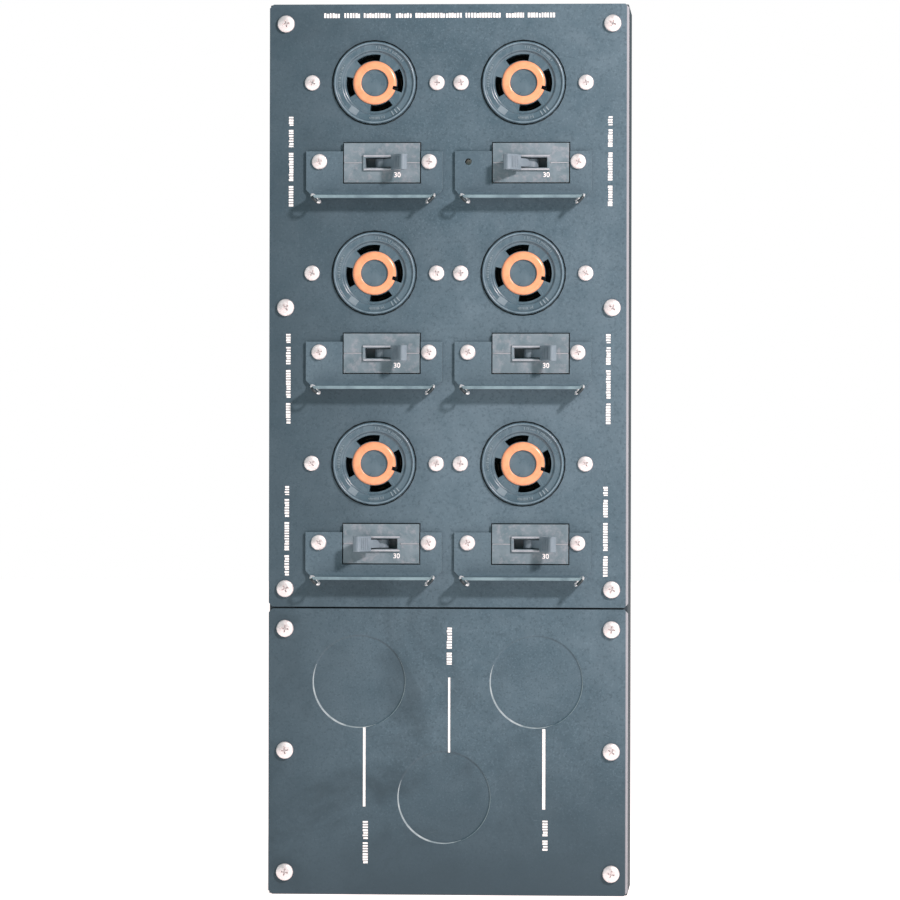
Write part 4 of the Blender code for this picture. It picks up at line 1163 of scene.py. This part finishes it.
def add_terminals():
    one = screw_mesh(3.6 * MM, 2.2 * MM, 1.7 * MM, 2.0 * MM, 2.3 * MM)
    bays = [-58.8 + 29.4 * i for i in range(5)]
    strips = [block((x - 11.0, -17.0, 13.8), (x + 11.0, 17.0, 15.0), 0.3) for x in bays]
    screws = [moved(one.copy(), shift(x * MM, y * MM, 15.0 * MM))
              for x in bays for y in (-10.0, 10.0)]
    place = shift(0.0, -30.0 * MM, -196.0 * MM) @ FACING
    piece("terminal_strips", merged(*strips), "strap", place=place, slot="plated_steel")
    piece("terminal_screws", merged(*screws), "brass", place=place, slot="brass_bar", angle=40.0)
    place = shift(0.0, -30.0 * MM, -233.0 * MM) @ FACING
    ground = [moved(one.copy(), Matrix.Scale(0.72, 4), shift(x * MM, 0.0, 13.0 * MM))
              for x in (-34.5, -20.7, -6.9, 6.9, 20.7, 34.5)]
    piece("ground_screws", merged(*ground), "screw", place=place, slot="zinc_screw", angle=40.0)


CHASSIS = ("left_rail", "right_rail", "top_crossmember", "middle_crossmember", "bottom_crossmember",
           "rear_tie_bar")


def dress_chassis():
    dress("upper_plate", "plate", 0.22 * MM)
    for name in CHASSIS:
        dress(name, "chassis", 0.25 * MM)
    dress("terminal_plate", "tray", 0.25 * MM)
    dress("terminal_block", "terminal", 0.30 * MM)
    dress("ground_bar", "brass", 0.30 * MM)


# ---------------------------------------------------------------- stage

FILL = 0.32
KEY_PLACE = (1.00, -1.25, 0.86)
KEY_SIZE = 0.16
KEY_POWER = 38.0
KEY_AIM = (0.0, -DEPTH, 0.03)
FILL_COLOUR, KEY_COLOUR = (0.62, 1.0, 1.04, 1.0), (1.0, 0.86, 0.84)
GLOW_COLOUR, NEAR_GLOW = (1.0, 0.85, 0.83, 1.0), 0.50
FLOOR_HALF = 8.0


def add_stage():
    """A pale, faintly glowing floor just under the panel, a pale studio round it, and one key light."""
    look = Look("floor", specular=0.1)
    tone = look.noise(3.0, 4.0)
    look.bump(look.noise(220.0, 3.0), 0.02 * MM)
    material = look.done(look.ramp(tone, (0.3, (0.80, 0.780, 0.765)), (0.7, (0.83, 0.815, 0.805))), 0.85)
    glow = look.range(look.axis("Y"), -0.60, -0.16, NEAR_GLOW, 1.00)
    for axis, near, far in (("Y", -0.50, -1.10), ("X", -0.40, -0.90), ("X", 0.40, 0.90)):
        glow = look.math("MAXIMUM", glow, look.range(look.axis(axis), near, far, NEAR_GLOW, 0.97))
    look.shader.inputs["Emission Color"].default_value = GLOW_COLOUR
    look.set(look.shader.inputs["Emission Strength"], glow)
    form = bmesh.new()
    bmesh.ops.create_grid(form, x_segments=8, y_segments=8, size=FLOOR_HALF)
    bmesh.ops.translate(form, vec=(0.0, 0.0, CAD_BOX[0].z - 0.3 * MM), verts=form.verts)
    mesh = from_form(form, "floor")
    mesh.materials.append(material)
    linked("floor", mesh)

    world = bpy.data.worlds.new("studio")
    bpy.context.scene.world = world
    world.use_nodes = True
    tree = world.node_tree
    fill = tree.nodes["Background"]
    fill.inputs["Color"].default_value = FILL_COLOUR
    fill.inputs["Strength"].default_value = FILL
    white = tree.nodes.new("ShaderNodeBackground")
    white.inputs["Color"].default_value = (1.0, 1.0, 1.0, 1.0)
    ray = tree.nodes.new("ShaderNodeLightPath")
    mix = tree.nodes.new("ShaderNodeMixShader")
    tree.links.new(ray.outputs["Is Camera Ray"], mix.inputs[0])
    tree.links.new(fill.outputs[0], mix.inputs[1])
    tree.links.new(white.outputs[0], mix.inputs[2])
    tree.links.new(mix.outputs[0], tree.nodes["World Output"].inputs["Surface"])

    data = bpy.data.lights.new("key", "AREA")
    data.shape = "SQUARE"
    data.size = KEY_SIZE
    data.energy = KEY_POWER
    data.color = KEY_COLOUR
    key = linked("key", data)
    key.location = KEY_PLACE
    aim = Vector(KEY_AIM) - Vector(KEY_PLACE)
    key.rotation_euler = aim.to_track_quat("-Z", "Y").to_euler()


# The camera: millimetres of sensor, then metres, and degrees to the right and of roll
SENSOR = 36.0
DISTANCE, FRAME_HEIGHT = 3.4, 600.0 * MM
AZIMUTH, ROLL = 3.4, 0.12
TARGET = Vector((1.1 * MM, -DEPTH, -0.3 * MM))


def add_camera():
    """At the panel's front, a little to its right, level, with a long lens."""
    azimuth = math.radians(AZIMUTH)
    data = bpy.data.cameras.new("camera")
    data.sensor_width = SENSOR
    data.lens = SENSOR * DISTANCE / FRAME_HEIGHT
    data.clip_start, data.clip_end = 0.1, 100.0
    camera = linked("camera", data)
    back = Vector((math.sin(azimuth), -math.cos(azimuth), 0.0))
    camera.location = TARGET + back * DISTANCE
    level = (-back).to_track_quat("-Z", "Y").to_matrix().to_4x4()
    camera.rotation_euler = (level @ about("Z", ROLL)).to_euler()
    bpy.context.scene.camera = camera


add_camera()
dress_chassis()
add_screws()
add_receptacles()
add_breakers()
add_printing()
add_lower_plate()
add_nuts()
add_trunk()
add_branches()
add_terminals()
add_stage()
bpy.context.scene.view_settings.view_transform = "Standard"
bpy.context.scene.view_settings.look = "None"
